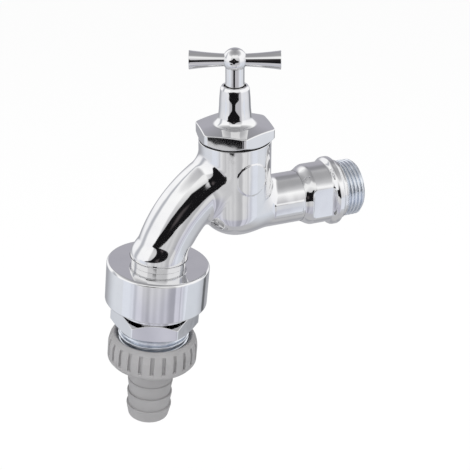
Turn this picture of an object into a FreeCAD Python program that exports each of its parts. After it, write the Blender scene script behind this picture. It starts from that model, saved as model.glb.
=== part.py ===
import FreeCAD, Part
import os
import Sketcher

# Drain valve for a wall: millimetres, +Z up along the spindle, +X along the inlet towards the wall.
# The origin is the centre of the inlet's sealing face, where its thread starts.
# Heights on the spindle axis are measured from the inlet axis. Pieces under the spout have
# their own frame: its origin is the centre of the housing's top face and its Z runs up the outlet axis,
# which leans away from the wall.

UP = FreeCAD.Vector(0, 0, 1)
ABOUT_X = "vector(1; 0; 0)"
ABOUT_Y = "vector(0; 1; 0)"
ABOUT_Z = "vector(0; 0; 1)"
QUARTER_TURN = 90
FULL_TURN = 360

SIZES = [
    # Where the three axes lie
    ("spindle_to_collar", 51.4, "spindle axis to the inlet's sealing face"),
    ("outlet_reach", 37.5, "spindle axis to the centre of the housing's top"),
    ("outlet_drop", 21.6, "inlet axis down to the housing's top"),
    ("outlet_tilt", 5.7, "degrees that the outlet leans from the vertical"),
    # Inlet: pipe thread of 3/4 inch, collar, rings and spanner flats
    ("inlet_thread_diameter", 26.44, "over the crests"),
    ("inlet_thread_pitch", 1.814, "14 threads to the inch"),
    ("inlet_thread_depth", 1.16, "crest to root"),
    ("inlet_thread_length", 9.3, "sealing face to the end"),
    ("inlet_collar_diameter", 27.9, "plain collar beside the thread"),
    ("inlet_collar_width", 1.5, "along the pipe"),
    ("rear_ring_diameter", 32.2, "larger ring of the spanner section"),
    ("rear_ring_width", 5.2, "along the pipe"),
    ("flats_length", 7.2, "barrel between the two rings"),
    ("flats_barrel_diameter", 28.4, "round part of the barrel"),
    ("flats_across", 24.8, "across the two spanner flats"),
    ("front_ring_diameter", 29.2, "smaller ring of the spanner section"),
    ("front_ring_width", 3.2, "along the pipe"),
    ("pipe_swell_length", 3.0, "taper from the pipe to the smaller ring"),
    ("pipe_diameter", 23.8, "inlet pipe"),
    ("inlet_bore", 16.0, "waterway of the inlet"),
    # Valve chamber
    ("chamber_diameter", 32.6, "outside of the valve chamber"),
    ("chamber_top", 33.3, "height of its upper face"),
    ("chamber_bottom", 10.8, "depth of its underside"),
    ("chamber_rounding", 12.0, "radius under the chamber"),
    ("chamber_bore", 24.6, "inside of the valve chamber"),
    ("chamber_floor", 10.5, "height of the floor round the seat"),
    ("seat_rise", 1.0, "seat above the floor"),
    ("seat_port", 14.0, "hole in the seat"),
    ("seat_land", 2.0, "width of the seat's face"),
    ("branch_blend", 3.0, "radius where spout and pipe leave the chamber"),
    # Spout
    ("spout_diameter", 24.0, "outside of the spout"),
    ("spout_bore", 14.0, "waterway of the spout"),
    ("spout_bend_radius", 51.5, "centre line of the spout"),
    ("spout_start", 7.5, "spindle axis to the inner end of the spout's shell"),
    ("foot_diameter", 26.4, "foot that stands on the housing"),
    ("foot_height", 6.5, "where the flare would meet a straight spout"),
    ("foot_band", 4.0, "upright edge of the foot"),
    ("spigot_diameter", 22.2, "threaded end inside the housing"),
    ("spigot_length", 9.0, "below the housing's top"),
    # Bonnet
    ("bonnet_thread_diameter", 26.4, "screwed part of the bonnet"),
    ("bonnet_thread_length", 9.3, "below the flange"),
    ("bonnet_hex_across", 32.0, "across the flange's flats"),
    ("bonnet_hex_turn", 23.0, "degrees from the pipe to a corner of the flange"),
    ("bonnet_hex_height", 4.9, "flange's underside to the top of its flats"),
    ("bonnet_slope", 30.0, "degrees that the flange's top falls outwards"),
    ("bonnet_gasket_thickness", 1.0, "under the flange"),
    ("bonnet_gasket_width", 1.9, "radial"),
    ("neck_foot_diameter", 15.0, "foot of the bonnet's neck"),
    ("neck_top_diameter", 13.0, "top of the bonnet's neck"),
    ("neck_top", 58.2, "height of the neck's rim"),
    ("neck_blend", 2.4, "radius at the neck's foot"),
    ("neck_rim_rounding", 0.8, "radius on the neck's rim"),
    ("recess_diameter", 9.8, "mouth of the bonnet, round the handle's neck"),
    ("recess_depth", 4.0, "of that mouth"),
    ("packing_length", 16.2, "plain bore under the recess"),
    # Spindle
    ("spindle_thread_diameter", 12.0, "screw that lifts the valve"),
    ("spindle_thread_length", 11.0, "of that screw"),
    ("spindle_foot_diameter", 10.0, "under the screw"),
    ("spindle_foot_length", 3.0, "under the screw"),
    ("spindle_shaft_diameter", 8.2, "through the packing bore"),
    ("spindle_end_diameter", 5.8, "inside the handle"),
    ("spindle_end_length", 11.5, "inside the handle"),
    ("ring_groove_diameter", 5.8, "floor of the ring grooves"),
    ("ring_groove_width", 1.6, "along the spindle"),
    ("ring_groove_height", 3.5, "lower groove above the packing bore's lower end"),
    ("ring_groove_spacing", 4.6, "between the two grooves"),
    ("plate_socket_diameter", 5.1, "hole for the valve plate's stem"),
    ("plate_socket_depth", 6.5, "of that hole"),
    # Handle
    ("ball_diameter", 10.6, "centre of the handle"),
    ("ball_height", 11.4, "ball centre above the bonnet neck's rim"),
    ("handle_neck_diameter", 8.3, "below the ball"),
    ("handle_turn", -22.0, "degrees from the pipe to the arms"),
    ("arm_reach", 19.8, "spindle axis to the arm's end"),
    ("arm_base", 4.5, "spindle axis to the arm's foot"),
    ("arm_base_diameter", 5.4, "at the ball"),
    ("arm_end_diameter", 8.2, "at the free end"),
    ("arm_spigot_diameter", 3.6, "inside the ball"),
    ("arm_spigot_length", 3.5, "inside the ball"),
    ("arm_edge", 0.3, "chamfer on the arm's end"),
    ("set_screw_diameter", 3.0, "in the back of the handle's neck"),
    ("set_screw_drop", 7.2, "below the ball's centre"),
    ("set_screw_socket", 1.5, "across the socket's flats"),
    ("set_screw_socket_depth", 0.6, "of that socket"),
    # Valve head
    ("washer_diameter", 18.0, "rubber washer"),
    ("washer_thickness", 3.0, "rubber washer"),
    ("plate_diameter", 19.0, "brass plate"),
    ("plate_thickness", 3.0, "brass plate"),
    ("plate_stem_length", 5.5, "inside the spindle"),
    ("washer_screw_diameter", 4.0, "shank of the screw"),
    ("washer_screw_head", 7.0, "diameter of its head"),
    ("washer_screw_head_height", 1.8, "of that head"),
    ("washer_screw_grip", 2.4, "depth of the shank in the plate"),
    # Aerator and backflow housing
    ("housing_diameter", 47.2, "outside"),
    ("housing_height", 19.6, "outside"),
    ("housing_wall", 2.0, "skirt"),
    ("housing_roof", 3.5, "top wall"),
    ("housing_edge", 1.6, "rounded upper edge"),
    ("housing_lip", 0.4, "rounded lower edge"),
    ("sleeve_diameter", 30.4, "threaded sleeve inside the housing"),
    ("sleeve_length", 12.0, "from the housing's top"),
    ("sleeve_port", 17.2, "hole in the sleeve's floor"),
    ("spout_gasket_thickness", 0.8, "under the spigot"),
    # Nipple
    ("nipple_top", 4.2, "below the housing's top"),
    ("nipple_neck_diameter", 35.2, "inside the skirt"),
    ("nipple_hex_across", 36.0, "across flats"),
    ("nipple_hex_turn", 42.0, "degrees from the pipe to a corner"),
    ("nipple_hex_top", 22.3, "below the housing's top"),
    ("nipple_hex_bottom", 32.0, "below the housing's top"),
    ("nipple_upper_chamfer", 2.2, "drop of the upper chamfer at a corner"),
    ("nipple_lower_chamfer", 1.0, "rise of the lower chamfer at a corner"),
    ("nipple_bottom", 43.8, "end of the outlet thread"),
    ("outlet_thread_diameter", 33.25, "pipe thread of 1 inch, over the crests"),
    ("outlet_thread_pitch", 2.309, "11 threads to the inch"),
    ("outlet_thread_depth", 1.48, "crest to root"),
    ("outlet_relief", 0.8, "plain neck above the thread"),
    ("nipple_bore", 22.4, "lower waterway"),
    ("float_chamber_diameter", 28.0, "room of the air valve"),
    ("float_chamber_bottom", 21.0, "below the housing's top"),
    ("air_port_count", 6, "holes to the outside air"),
    ("air_port_turn", 30.0, "degrees from the pipe to the first of them"),
    ("air_port_diameter", 2.6, "of those holes"),
    ("air_port_drop", 14.2, "below the housing's top"),
    # Air valve and non-return valve
    ("float_inner_diameter", 21.0, "air valve ring"),
    ("float_height", 4.0, "air valve ring"),
    ("cartridge_flange", 2.0, "thickness"),
    ("cartridge_seat", 13.0, "hole in the cartridge's seat"),
    ("cartridge_bore", 18.6, "room of the poppet"),
    ("cartridge_length", 16.8, "seat's upper face to the lower end"),
    ("cartridge_lip", 0.8, "lip that carries the retainer"),
    ("cartridge_lip_width", 0.6, "radial"),
    ("poppet_diameter", 16.4, "disc"),
    ("poppet_thickness", 2.0, "disc"),
    ("poppet_boss_diameter", 9.8, "inside the seal"),
    ("poppet_boss_rise", 1.5, "above the disc"),
    ("poppet_stem_diameter", 2.8, "guide"),
    ("poppet_stem_length", 13.0, "guide"),
    ("poppet_seal_thickness", 1.0, "rubber"),
    ("retainer_thickness", 2.0, "spoked disc"),
    ("retainer_hole_count", 6, "waterways in the disc"),
    ("retainer_hole_diameter", 3.8, "of those waterways"),
    ("retainer_hole_circle", 11.8, "on this circle"),
    ("spring_coil_diameter", 6.4, "centre of the wire"),
    ("spring_wire_diameter", 0.7, "wire"),
    ("spring_turns", 5.0, "turns"),
    # Union and hose tail
    ("union_gasket_thickness", 2.0, "flat rubber washer"),
    ("union_gasket_bore", 16.4, "hole in that washer"),
    ("nut_diameter", 42.2, "over the ribs"),
    ("nut_top", 37.3, "below the housing's top"),
    ("nut_height", 14.0, "whole"),
    ("nut_mouth_diameter", 36.0, "opening above the thread"),
    ("nut_mouth_depth", 1.3, "taper from the opening to the thread"),
    ("nut_lip_width", 0.5, "flat round the opening"),
    ("nut_shoulder_diameter", 40.4, "where the ribs begin"),
    ("nut_shoulder_drop", 1.4, "below the nut's top"),
    ("nut_full_drop", 5.2, "where the ribs reach the full diameter"),
    ("nut_lower_taper", 1.4, "rounding under the ribs, along the axis"),
    ("nut_lower_diameter", 39.8, "underside"),
    ("nut_groove_count", 24, "grooves between the ribs"),
    ("nut_groove_turn", 11.5, "degrees from the pipe to the first groove"),
    ("nut_groove_width", 1.2, "around the nut"),
    ("nut_groove_depth", 0.8, "radial"),
    ("nut_groove_length", 9.7, "from near the top"),
    ("nut_groove_start", 1.2, "below the nut's top"),
    ("tail_collar_diameter", 31.0, "inside the nut"),
    ("tail_collar_height", 2.4, "inside the nut"),
    ("tail_diameter", 20.8, "plain part"),
    ("tail_bore", 15.0, "waterway"),
    ("tail_end", 82.5, "below the housing's top"),
    ("barb_count", 3, "on the tail"),
    ("barb_diameter", 21.6, "crest"),
    ("barb_root_diameter", 20.2, "root"),
    ("barb_pitch", 6.9, "along the tail"),
    ("barb_start", 62.0, "first crest below the housing's top"),
    ("barb_land", 0.8, "plain width of a crest"),
    ("tail_end_rounding", 1.8, "radius on the tail's end"),
    # Clearances
    ("running_gap", 0.05, "radial, between parts that turn or screw in each other"),
    ("loose_gap", 0.1, "radial, between parts that are pushed in by hand"),
    ("seal_gap", 0.04, "between a rubber ring and what it seals"),
]

PLACES = [
    # Inlet stations, measured along the pipe from the sealing face (negative towards the spindle)
    ("collar_start", "-Sizes.inlet_collar_width"),
    ("rear_ring_start", "Places.collar_start - Sizes.rear_ring_width"),
    ("flats_start", "Places.rear_ring_start - Sizes.flats_length"),
    ("front_ring_start", "Places.flats_start - Sizes.front_ring_width"),
    ("pipe_end", "Places.front_ring_start - Sizes.pipe_swell_length"),
    # Heights on the spindle axis
    ("seat_face", "Sizes.chamber_floor + Sizes.seat_rise"),
    ("flange_underside", "Sizes.chamber_top + Sizes.bonnet_gasket_thickness"),
    ("bonnet_bottom", "Places.flange_underside - Sizes.bonnet_thread_length"),
    ("hex_flat_top", "Places.flange_underside + Sizes.bonnet_hex_height"),
    ("hex_corner_radius", "Sizes.bonnet_hex_across / 2 / cos(30)"),
    ("hex_corner_excess", "Places.hex_corner_radius - Sizes.bonnet_hex_across / 2"),
    ("hex_corner_drop", "Places.hex_corner_excess * tan(Sizes.bonnet_slope)"),
    ("neck_foot_inset", "(Sizes.bonnet_hex_across - Sizes.neck_foot_diameter) / 2"),
    ("neck_foot_rise", "Places.neck_foot_inset * tan(Sizes.bonnet_slope)"),
    ("neck_foot", "Places.hex_flat_top + Places.neck_foot_rise"),
    ("recess_floor", "Sizes.neck_top - Sizes.recess_depth"),
    ("packing_bottom", "Places.recess_floor - Sizes.packing_length"),
    ("washer_top", "Places.seat_face + Sizes.washer_thickness"),
    ("plate_top", "Places.washer_top + Sizes.plate_thickness"),
    ("screw_bottom", "Places.plate_top + Sizes.spindle_foot_length"),
    ("screw_top", "Places.screw_bottom + Sizes.spindle_thread_length"),
    ("hub_bottom", "Places.recess_floor + 3 * Sizes.loose_gap"),
    ("spindle_top", "Places.hub_bottom + Sizes.spindle_end_length"),
    ("lower_groove", "Places.packing_bottom + Sizes.ring_groove_height"),
    ("upper_groove", "Places.lower_groove + Sizes.ring_groove_spacing"),
    ("ball_centre", "Sizes.neck_top + Sizes.ball_height"),
    # Outlet: the spout's bend and the lowest point of each piece under the housing's top
    ("bend_centre_x", "Sizes.spout_bend_radius * cos(Sizes.outlet_tilt) - Sizes.outlet_reach"),
    ("bend_end_cosine", "(Sizes.spout_start + Places.bend_centre_x) / Sizes.spout_bend_radius"),
    ("bend_sweep", "acos(Places.bend_end_cosine) - Sizes.outlet_tilt * 1 deg"),
    ("shoulder_drop", "Sizes.spigot_length + Sizes.spout_gasket_thickness"),
    ("cartridge_top", "Sizes.float_chamber_bottom - Sizes.cartridge_flange"),
    ("cartridge_end", "Places.cartridge_top + Sizes.cartridge_length"),
    ("retainer_bottom", "Places.cartridge_end - Sizes.cartridge_lip"),
    ("retainer_top", "Places.retainer_bottom - Sizes.retainer_thickness"),
    ("poppet_top", "Sizes.float_chamber_bottom + Sizes.poppet_seal_thickness"),
    ("poppet_bottom", "Places.poppet_top + Sizes.poppet_thickness"),
    ("float_chamber_top", "Sizes.sleeve_length + 3 * Sizes.loose_gap"),
    ("nipple_corner_radius", "Sizes.nipple_hex_across / 2 / cos(30)"),
    ("outlet_thread_start", "Sizes.nipple_hex_bottom + Sizes.outlet_relief"),
    ("gasket_bottom", "Sizes.nipple_bottom + Sizes.union_gasket_thickness"),
    ("collar_bottom", "Places.gasket_bottom + Sizes.tail_collar_height"),
    ("nut_bottom", "Sizes.nut_top + Sizes.nut_height"),
]

doc = FreeCAD.newDocument("DrainValve")


def fill_sheet(name, rows):
    """Spreadsheet with one alias, value and meaning in each row."""
    sheet = doc.addObject("Spreadsheet::Sheet", name)
    for row, (alias, content, *meaning) in enumerate(rows, start=1):
        sheet.set(f"A{row}", alias)
        sheet.setAlias(f"B{row}", alias)
        sheet.set(f"B{row}", str(content))
        for note in meaning:
            sheet.set(f"C{row}", note)
    doc.recompute()
    return sheet


sizes = fill_sheet("Sizes", SIZES)
fill_sheet("Places", [(alias, "=" + formula.replace("Places.", "")) for alias, formula in PLACES])


def number(expression):
    """Value of an expression in the sheets' names."""
    value = sizes.evalExpression(expression)
    return float(getattr(value, "Value", value))


def bind(item, **expressions):
    """Bind properties of an object to expressions."""
    for name, expression in expressions.items():
        item.setExpression(name, expression)
    return item


def origin_feature(body, role):
    """Plane or axis of a body's own origin."""
    return next(item for item in body.Origin.OriginFeatures if item.Role == role)


def fix_coordinate(sketch, line, kind, expression):
    """Hold the first point of a line at a distance from the sketch's origin, or on its axis."""
    if expression == "0":
        axis = -2 if kind == "DistanceX" else -1
        sketch.addConstraint(Sketcher.Constraint("PointOnObject", line, 1, axis))
        return
    index = sketch.addConstraint(Sketcher.Constraint(kind, -1, 1, line, 1, number(expression)))
    sketch.setExpression(f"Constraints[{index}]", expression)


def outline_sketch(body, corners):
    """Closed outline of straight edges in the upright plane.

    Each corner (radius, height) is bound to the sheets."""
    sketch = body.newObject("Sketcher::SketchObject", body.Name + "_outline")
    sketch.AttachmentSupport = [(origin_feature(body, "XZ_Plane"), "")]
    sketch.MapMode = "FlatFace"
    points = [FreeCAD.Vector(number(radius), number(height), 0) for radius, height in corners]
    for start, end in zip(points, points[1:] + points[:1]):
        sketch.addGeometry(Part.LineSegment(start, end))
    for line in range(len(points)):
        sketch.addConstraint(Sketcher.Constraint("Coincident", line, 2, (line + 1) % len(points), 1))
    for line, (radius, height) in enumerate(corners):
        fix_coordinate(sketch, line, "DistanceX", radius)
        fix_coordinate(sketch, line, "DistanceY", height)
    return sketch


def turned(name, corners):
    """Body made by turning an outline about its own Z axis."""
    body = doc.addObject("PartDesign::Body", name)
    sketch = outline_sketch(body, corners)
    revolution = body.newObject("PartDesign::Revolution", name + "_turned")
    revolution.Profile = sketch
    revolution.ReferenceAxis = (sketch, ["V_Axis"])
    revolution.Angle = FULL_TURN
    doc.recompute()
    return body


def circles_at(shape, radius, height):
    """Names of the round edges of a shape with this radius at this height on its Z axis."""
    wanted = (number(radius), number(height))
    names = []
    for index, edge in enumerate(shape.Edges, start=1):
        if isinstance(edge.Curve, Part.Circle):
            found = (edge.Curve.Radius, edge.Curve.Center.z)
            if max(abs(a - b) for a, b in zip(found, wanted)) < 1e-4:
                names.append(f"Edge{index}")
    return names


def rounded(body, radius, height, size):
    """Fillet on the round edge of a turned body at this radius and height."""
    base = body.Tip
    fillet = body.newObject("PartDesign::Fillet", base.Name + "_fillet")
    fillet.Base = (base, circles_at(base.Shape, radius, height))
    bind(fillet, Radius=size)
    body.Tip = fillet
    doc.recompute()
    return body


def shift(along_x="0", along_y="0", along_z="0"):
    """Frame moved along the three axes, as an expression."""
    return f"placement(vector({along_x}; {along_y}; {along_z}); rotation({ABOUT_Z}; 0))"


def turn(axis, degrees):
    """Frame turned about one of its own axes, as an expression."""
    return f"placement(vector(0; 0; 0); rotation({axis}; {degrees}))"


def placed(item, *frames):
    """Place an object in a chain of frames, the outermost first."""
    item.setExpression("Placement", " * ".join(frames))
    return item


SPINDLE_FRAME = [shift(along_x="-Sizes.spindle_to_collar")]
OUTLET_FRAME = [
    shift(along_x="-Sizes.spindle_to_collar - Sizes.outlet_reach", along_z="-Sizes.outlet_drop"),
    turn(ABOUT_Y, "Sizes.outlet_tilt"),
]
BALL_FRAME = [
    shift(along_x="-Sizes.spindle_to_collar", along_z="Places.ball_centre"),
    turn(ABOUT_Z, "Sizes.handle_turn"),
]
ALONG_X = turn(ABOUT_Y, QUARTER_TURN)


def cylinder(name, radius, height, bottom="0", *frames):
    """Cylinder whose lower face is at the given height of its frame."""
    item = doc.addObject("Part::Cylinder", name)
    bind(item, Radius=radius, Height=height)
    return placed(item, *frames, shift(along_z=bottom))


def hexagonal_bar(name, corner_radius, height, bottom, degrees="0"):
    """Upright hexagonal bar with one corner turned from the X axis."""
    item = doc.addObject("Part::Prism", name)
    item.Polygon = 6
    bind(item, Circumradius=corner_radius, Height=height)
    return placed(item, turn(ABOUT_Z, degrees), shift(along_z=bottom))


def sphere(name, radius, height="0"):
    """Sphere on the Z axis."""
    item = doc.addObject("Part::Sphere", name)
    bind(item, Radius=radius)
    return placed(item, shift(along_z=height))


def cut(name, base, tool):
    """Base less tool."""
    item = doc.addObject("Part::Cut", name)
    item.Base = base
    item.Tool = tool
    doc.recompute()
    return item


def fuse(name, shapes):
    """One solid of overlapping shapes."""
    item = doc.addObject("Part::MultiFuse", name)
    item.Shapes = shapes
    doc.recompute()
    return item


def hexagon_trimmed(name, base, corner_radius, bottom, height, degrees):
    """Base with everything outside a hexagonal bar removed between two heights."""
    outside = cylinder(name + "_stock", f"2 * ({corner_radius})", height, bottom)
    bar = hexagonal_bar(name + "_hexagon", corner_radius, height, bottom, degrees)
    return cut(name, base, cut(name + "_trim", outside, bar))


def ridge_count(length, pitch):
    """Number of whole thread ridges in a length."""
    return int(number(length) / number(pitch))


def ridges(start, direction, crest_radius, depth, pitch, count):
    """Corners of thread ridges from the first crest to the last.

    The direction is "+" upwards or "-" downwards. Each ridge is a crest a quarter of the pitch wide
    with flanks of 5/16 of the pitch down to a root of an eighth."""
    root = f"{crest_radius} - {depth}"
    corners = []
    for ridge in range(count):
        crest = f"({start}) {direction} {pitch} * {ridge}"
        corners.append((crest_radius, crest))
        corners.append((crest_radius, f"{crest} {direction} {pitch} / 4"))
        corners.append((root, f"{crest} {direction} {pitch} * 9 / 16"))
        if ridge < count - 1:
            corners.append((root, f"{crest} {direction} {pitch} * 11 / 16"))
    return corners


nodes = []


def finished(label, item, frames):
    """Put a sub-part in its place, give it its label and list it among the pieces to be written."""
    placed(item, *frames)
    item.Label = label
    nodes.append(item)
    return item


def around(name, count, first, make):
    """Shapes made by a function of a name and a frame, evenly spaced about the Z axis, as one tool."""
    frames = [turn(ABOUT_Z, f"{first} + {index * FULL_TURN / count}") for index in range(count)]
    return fuse(name, [make(f"{name}_{index}", frame) for index, frame in enumerate(frames)])


# Valve body: inlet, turned about its own axis and laid along +X
inlet_ridge_count = ridge_count("Sizes.inlet_thread_length", "Sizes.inlet_thread_pitch")
inlet_ridges = ridges("0", "+", "Sizes.inlet_thread_diameter / 2", "Sizes.inlet_thread_depth",
                      "Sizes.inlet_thread_pitch", inlet_ridge_count)
inlet = turned("inlet", [
    ("0", "-Sizes.spindle_to_collar"),
    ("Sizes.pipe_diameter / 2", "-Sizes.spindle_to_collar"),
    ("Sizes.pipe_diameter / 2", "Places.pipe_end"),
    ("Sizes.front_ring_diameter / 2", "Places.front_ring_start"),
    ("Sizes.front_ring_diameter / 2", "Places.flats_start"),
    ("Sizes.flats_barrel_diameter / 2", "Places.flats_start"),
    ("Sizes.flats_barrel_diameter / 2", "Places.rear_ring_start"),
    ("Sizes.rear_ring_diameter / 2", "Places.rear_ring_start + Sizes.rear_ring_width / 4"),
    ("Sizes.rear_ring_diameter / 2", "Places.collar_start - Sizes.rear_ring_width / 4"),
    ("Sizes.inlet_collar_diameter / 2", "Places.collar_start"),
    ("Sizes.inlet_collar_diameter / 2", "0"),
] + inlet_ridges + [
    ("Sizes.inlet_thread_diameter / 2 - Sizes.inlet_thread_depth", "Sizes.inlet_thread_length"),
    ("0", "Sizes.inlet_thread_length"),
])
flats_block = doc.addObject("Part::Box", "flats_block")
bind(flats_block, Length="2 * Sizes.rear_ring_diameter", Width="Sizes.flats_across",
     Height="Sizes.flats_length")
placed(flats_block,
       shift("-Sizes.rear_ring_diameter", "-Sizes.flats_across / 2", "Places.flats_start"))
flats_stock = cylinder("flats_stock", "Sizes.rear_ring_diameter", "Sizes.flats_length", "Places.flats_start")
inlet_with_flats = cut("inlet_with_flats", inlet, cut("flats_trim", flats_stock, flats_block))
inlet_end = sphere("inlet_end", "Sizes.pipe_diameter / 2", "-Sizes.spindle_to_collar")
inlet_arm = placed(fuse("inlet_arm", [inlet_with_flats, inlet_end]), ALONG_X)

# Valve body: round chamber with its rounded underside
chamber = turned("chamber", [
    ("0", "-Sizes.chamber_bottom"),
    ("Sizes.chamber_diameter / 2", "-Sizes.chamber_bottom"),
    ("Sizes.chamber_diameter / 2", "Sizes.chamber_top"),
    ("0", "Sizes.chamber_top"),
])
rounded(chamber, "Sizes.chamber_diameter / 2", "-Sizes.chamber_bottom", "Sizes.chamber_rounding")
placed(chamber, *SPINDLE_FRAME)


def bend(name, tube_radius, sweep):
    """Bar along the spout's centre line, up from the housing, in the outlet's frame.

    Its section starts at the side of the spout, so that the seam stays clear of the blends."""
    section = doc.addObject("Part::Circle", name + "_section")
    bind(section, Radius=tube_radius)
    placed(section, turn(ABOUT_Z, QUARTER_TURN))
    bar = doc.addObject("Part::Revolution", name)
    bar.Source = section
    bar.Axis = FreeCAD.Vector(0, 1, 0)
    bar.Solid = True
    return bind(bar, **{"Base.x": "Sizes.spout_bend_radius", "Angle": sweep})


# Valve body: bent spout, its foot and the spigot inside the housing. The foot's cone runs on inside the
# spout as far again as it shows, so that the two surfaces cross cleanly.
spout_tube = bend("spout_tube", "Sizes.spout_diameter / 2", "Places.bend_sweep")
foot = turned("foot", [
    ("0", "-Sizes.spigot_length"),
    ("Sizes.spigot_diameter / 2", "-Sizes.spigot_length"),
    ("Sizes.spigot_diameter / 2", "0"),
    ("Sizes.foot_diameter / 2", "0"),
    ("Sizes.foot_diameter / 2", "Sizes.foot_band"),
    ("Sizes.spout_diameter - Sizes.foot_diameter / 2", "2 * Sizes.foot_height - Sizes.foot_band"),
    ("0", "2 * Sizes.foot_height - Sizes.foot_band"),
])
spout = placed(fuse("spout", [spout_tube, foot]), *OUTLET_FRAME)
body_shell = fuse("body_shell", [chamber, inlet_arm, spout])


def branch_edges(shape):
    """Numbers of the curved seams where the pipe and the spout leave the chamber's side."""
    reach = number("Sizes.chamber_diameter / 2 + Sizes.branch_blend")
    axis_x = -number("Sizes.spindle_to_collar")
    underside = number("Sizes.branch_blend - Sizes.chamber_bottom")
    seams = []
    for index, edge in enumerate(shape.Edges, start=1):
        plain = isinstance(edge.Curve, (Part.Circle, Part.Line, Part.LineSegment))
        beside_chamber = abs(edge.CenterOfMass.x - axis_x) < reach and edge.BoundBox.ZMax > underside
        if beside_chamber and not plain:
            seams.append(index)
    return seams


blended_shell = doc.addObject("Part::Fillet", "blended_shell")
blended_shell.Base = body_shell
blend_radius = number("Sizes.branch_blend")
blended_shell.Edges = [(index, blend_radius, blend_radius) for index in branch_edges(body_shell.Shape)]

# Valve body: waterways
chamber_room = placed(turned("chamber_room", [
    ("0", "0"),
    ("Sizes.seat_port / 2", "0"),
    ("Sizes.seat_port / 2", "Places.seat_face"),
    ("Sizes.seat_port / 2 + Sizes.seat_land", "Places.seat_face"),
    ("Sizes.seat_port / 2 + Sizes.seat_land", "Sizes.chamber_floor"),
    ("Sizes.chamber_bore / 2", "Sizes.chamber_floor"),
    ("Sizes.chamber_bore / 2", "Places.bonnet_bottom - Sizes.loose_gap"),
    ("Sizes.bonnet_thread_diameter / 2 + Sizes.running_gap", "Places.bonnet_bottom - Sizes.loose_gap"),
    ("Sizes.bonnet_thread_diameter / 2 + Sizes.running_gap", "Places.flange_underside"),
    ("0", "Places.flange_underside"),
]), *SPINDLE_FRAME)
inlet_drill = cylinder("inlet_drill", "Sizes.inlet_bore / 2",
                       "Sizes.spindle_to_collar + 2 * Sizes.inlet_thread_length", "-Sizes.spindle_to_collar")
inlet_drill_tip = sphere("inlet_drill_tip", "Sizes.inlet_bore / 2", "-Sizes.spindle_to_collar")
inlet_waterway = placed(fuse("inlet_waterway", [inlet_drill, inlet_drill_tip]), ALONG_X)
spout_core = bend("spout_core", "Sizes.spout_bore / 2", "Places.bend_sweep")
spigot_core = cylinder("spigot_core", "Sizes.spout_bore / 2", "2 * Sizes.spigot_length",
                       "-2 * Sizes.spigot_length")
spout_waterway = placed(fuse("spout_waterway", [spout_core, spigot_core]), *OUTLET_FRAME)
waterways = fuse("waterways", [chamber_room, inlet_waterway, spout_waterway])
finished("valve_body", cut("valve_body_solid", blended_shell, waterways), [shift()])

# Bonnet: flange with a sloping top, hexagon trimmed, and a tapering neck
bonnet_turned = turned("bonnet_stock", [
    ("Sizes.spindle_thread_diameter / 2 + Sizes.running_gap", "Places.bonnet_bottom"),
    ("Sizes.bonnet_thread_diameter / 2", "Places.bonnet_bottom"),
    ("Sizes.bonnet_thread_diameter / 2", "Places.flange_underside"),
    ("Places.hex_corner_radius", "Places.flange_underside"),
    ("Places.hex_corner_radius", "Places.hex_flat_top - Places.hex_corner_drop"),
    ("Sizes.neck_foot_diameter / 2", "Places.neck_foot"),
    ("Sizes.neck_top_diameter / 2", "Sizes.neck_top"),
    ("Sizes.recess_diameter / 2", "Sizes.neck_top"),
    ("Sizes.recess_diameter / 2", "Places.recess_floor"),
    ("Sizes.spindle_shaft_diameter / 2 + Sizes.running_gap", "Places.recess_floor"),
    ("Sizes.spindle_shaft_diameter / 2 + Sizes.running_gap", "Places.packing_bottom"),
    ("Sizes.spindle_thread_diameter / 2 + Sizes.running_gap", "Places.packing_bottom"),
])
rounded(bonnet_turned, "Sizes.neck_foot_diameter / 2", "Places.neck_foot", "Sizes.neck_blend")
rounded(bonnet_turned, "Sizes.neck_top_diameter / 2", "Sizes.neck_top", "Sizes.neck_rim_rounding")
bonnet = hexagon_trimmed("bonnet_solid", bonnet_turned, "Places.hex_corner_radius",
                         "Places.flange_underside", "Sizes.bonnet_hex_height", "Sizes.bonnet_hex_turn")
finished("bonnet", bonnet, SPINDLE_FRAME)


def ring(name, inner_radius, outer_radius, bottom, top):
    """Flat ring between two radii and two heights."""
    return turned(name, [
        (inner_radius, bottom),
        (outer_radius, bottom),
        (outer_radius, top),
        (inner_radius, top),
    ])


gasket_inner = "Sizes.bonnet_thread_diameter / 2 + 2 * Sizes.loose_gap"
bonnet_gasket = ring("bonnet_gasket_solid", gasket_inner, f"{gasket_inner} + Sizes.bonnet_gasket_width",
                     "Sizes.chamber_top", "Places.flange_underside")
finished("bonnet_gasket", bonnet_gasket, SPINDLE_FRAME)

# Spindle, its two sealing rings and the handle
shaft = "Sizes.spindle_shaft_diameter / 2"
groove_floor = "Sizes.ring_groove_diameter / 2"
groove_corners = []
for groove in ("Places.lower_groove", "Places.upper_groove"):
    groove_corners += [
        (shaft, groove),
        (groove_floor, groove),
        (groove_floor, f"{groove} + Sizes.ring_groove_width"),
        (shaft, f"{groove} + Sizes.ring_groove_width"),
    ]
spindle = turned("spindle_solid", [
    ("0", "Places.plate_top + Sizes.plate_socket_depth"),
    ("Sizes.plate_socket_diameter / 2", "Places.plate_top + Sizes.plate_socket_depth"),
    ("Sizes.plate_socket_diameter / 2", "Places.plate_top"),
    ("Sizes.spindle_foot_diameter / 2", "Places.plate_top"),
    ("Sizes.spindle_foot_diameter / 2", "Places.screw_bottom"),
    ("Sizes.spindle_thread_diameter / 2", "Places.screw_bottom"),
    ("Sizes.spindle_thread_diameter / 2", "Places.screw_top"),
    (shaft, "Places.screw_top"),
] + groove_corners + [
    (shaft, "Places.hub_bottom"),
    ("Sizes.spindle_end_diameter / 2", "Places.hub_bottom"),
    ("Sizes.spindle_end_diameter / 2", "Places.spindle_top"),
    ("0", "Places.spindle_top"),
])
finished("spindle", spindle, SPINDLE_FRAME)


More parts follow.
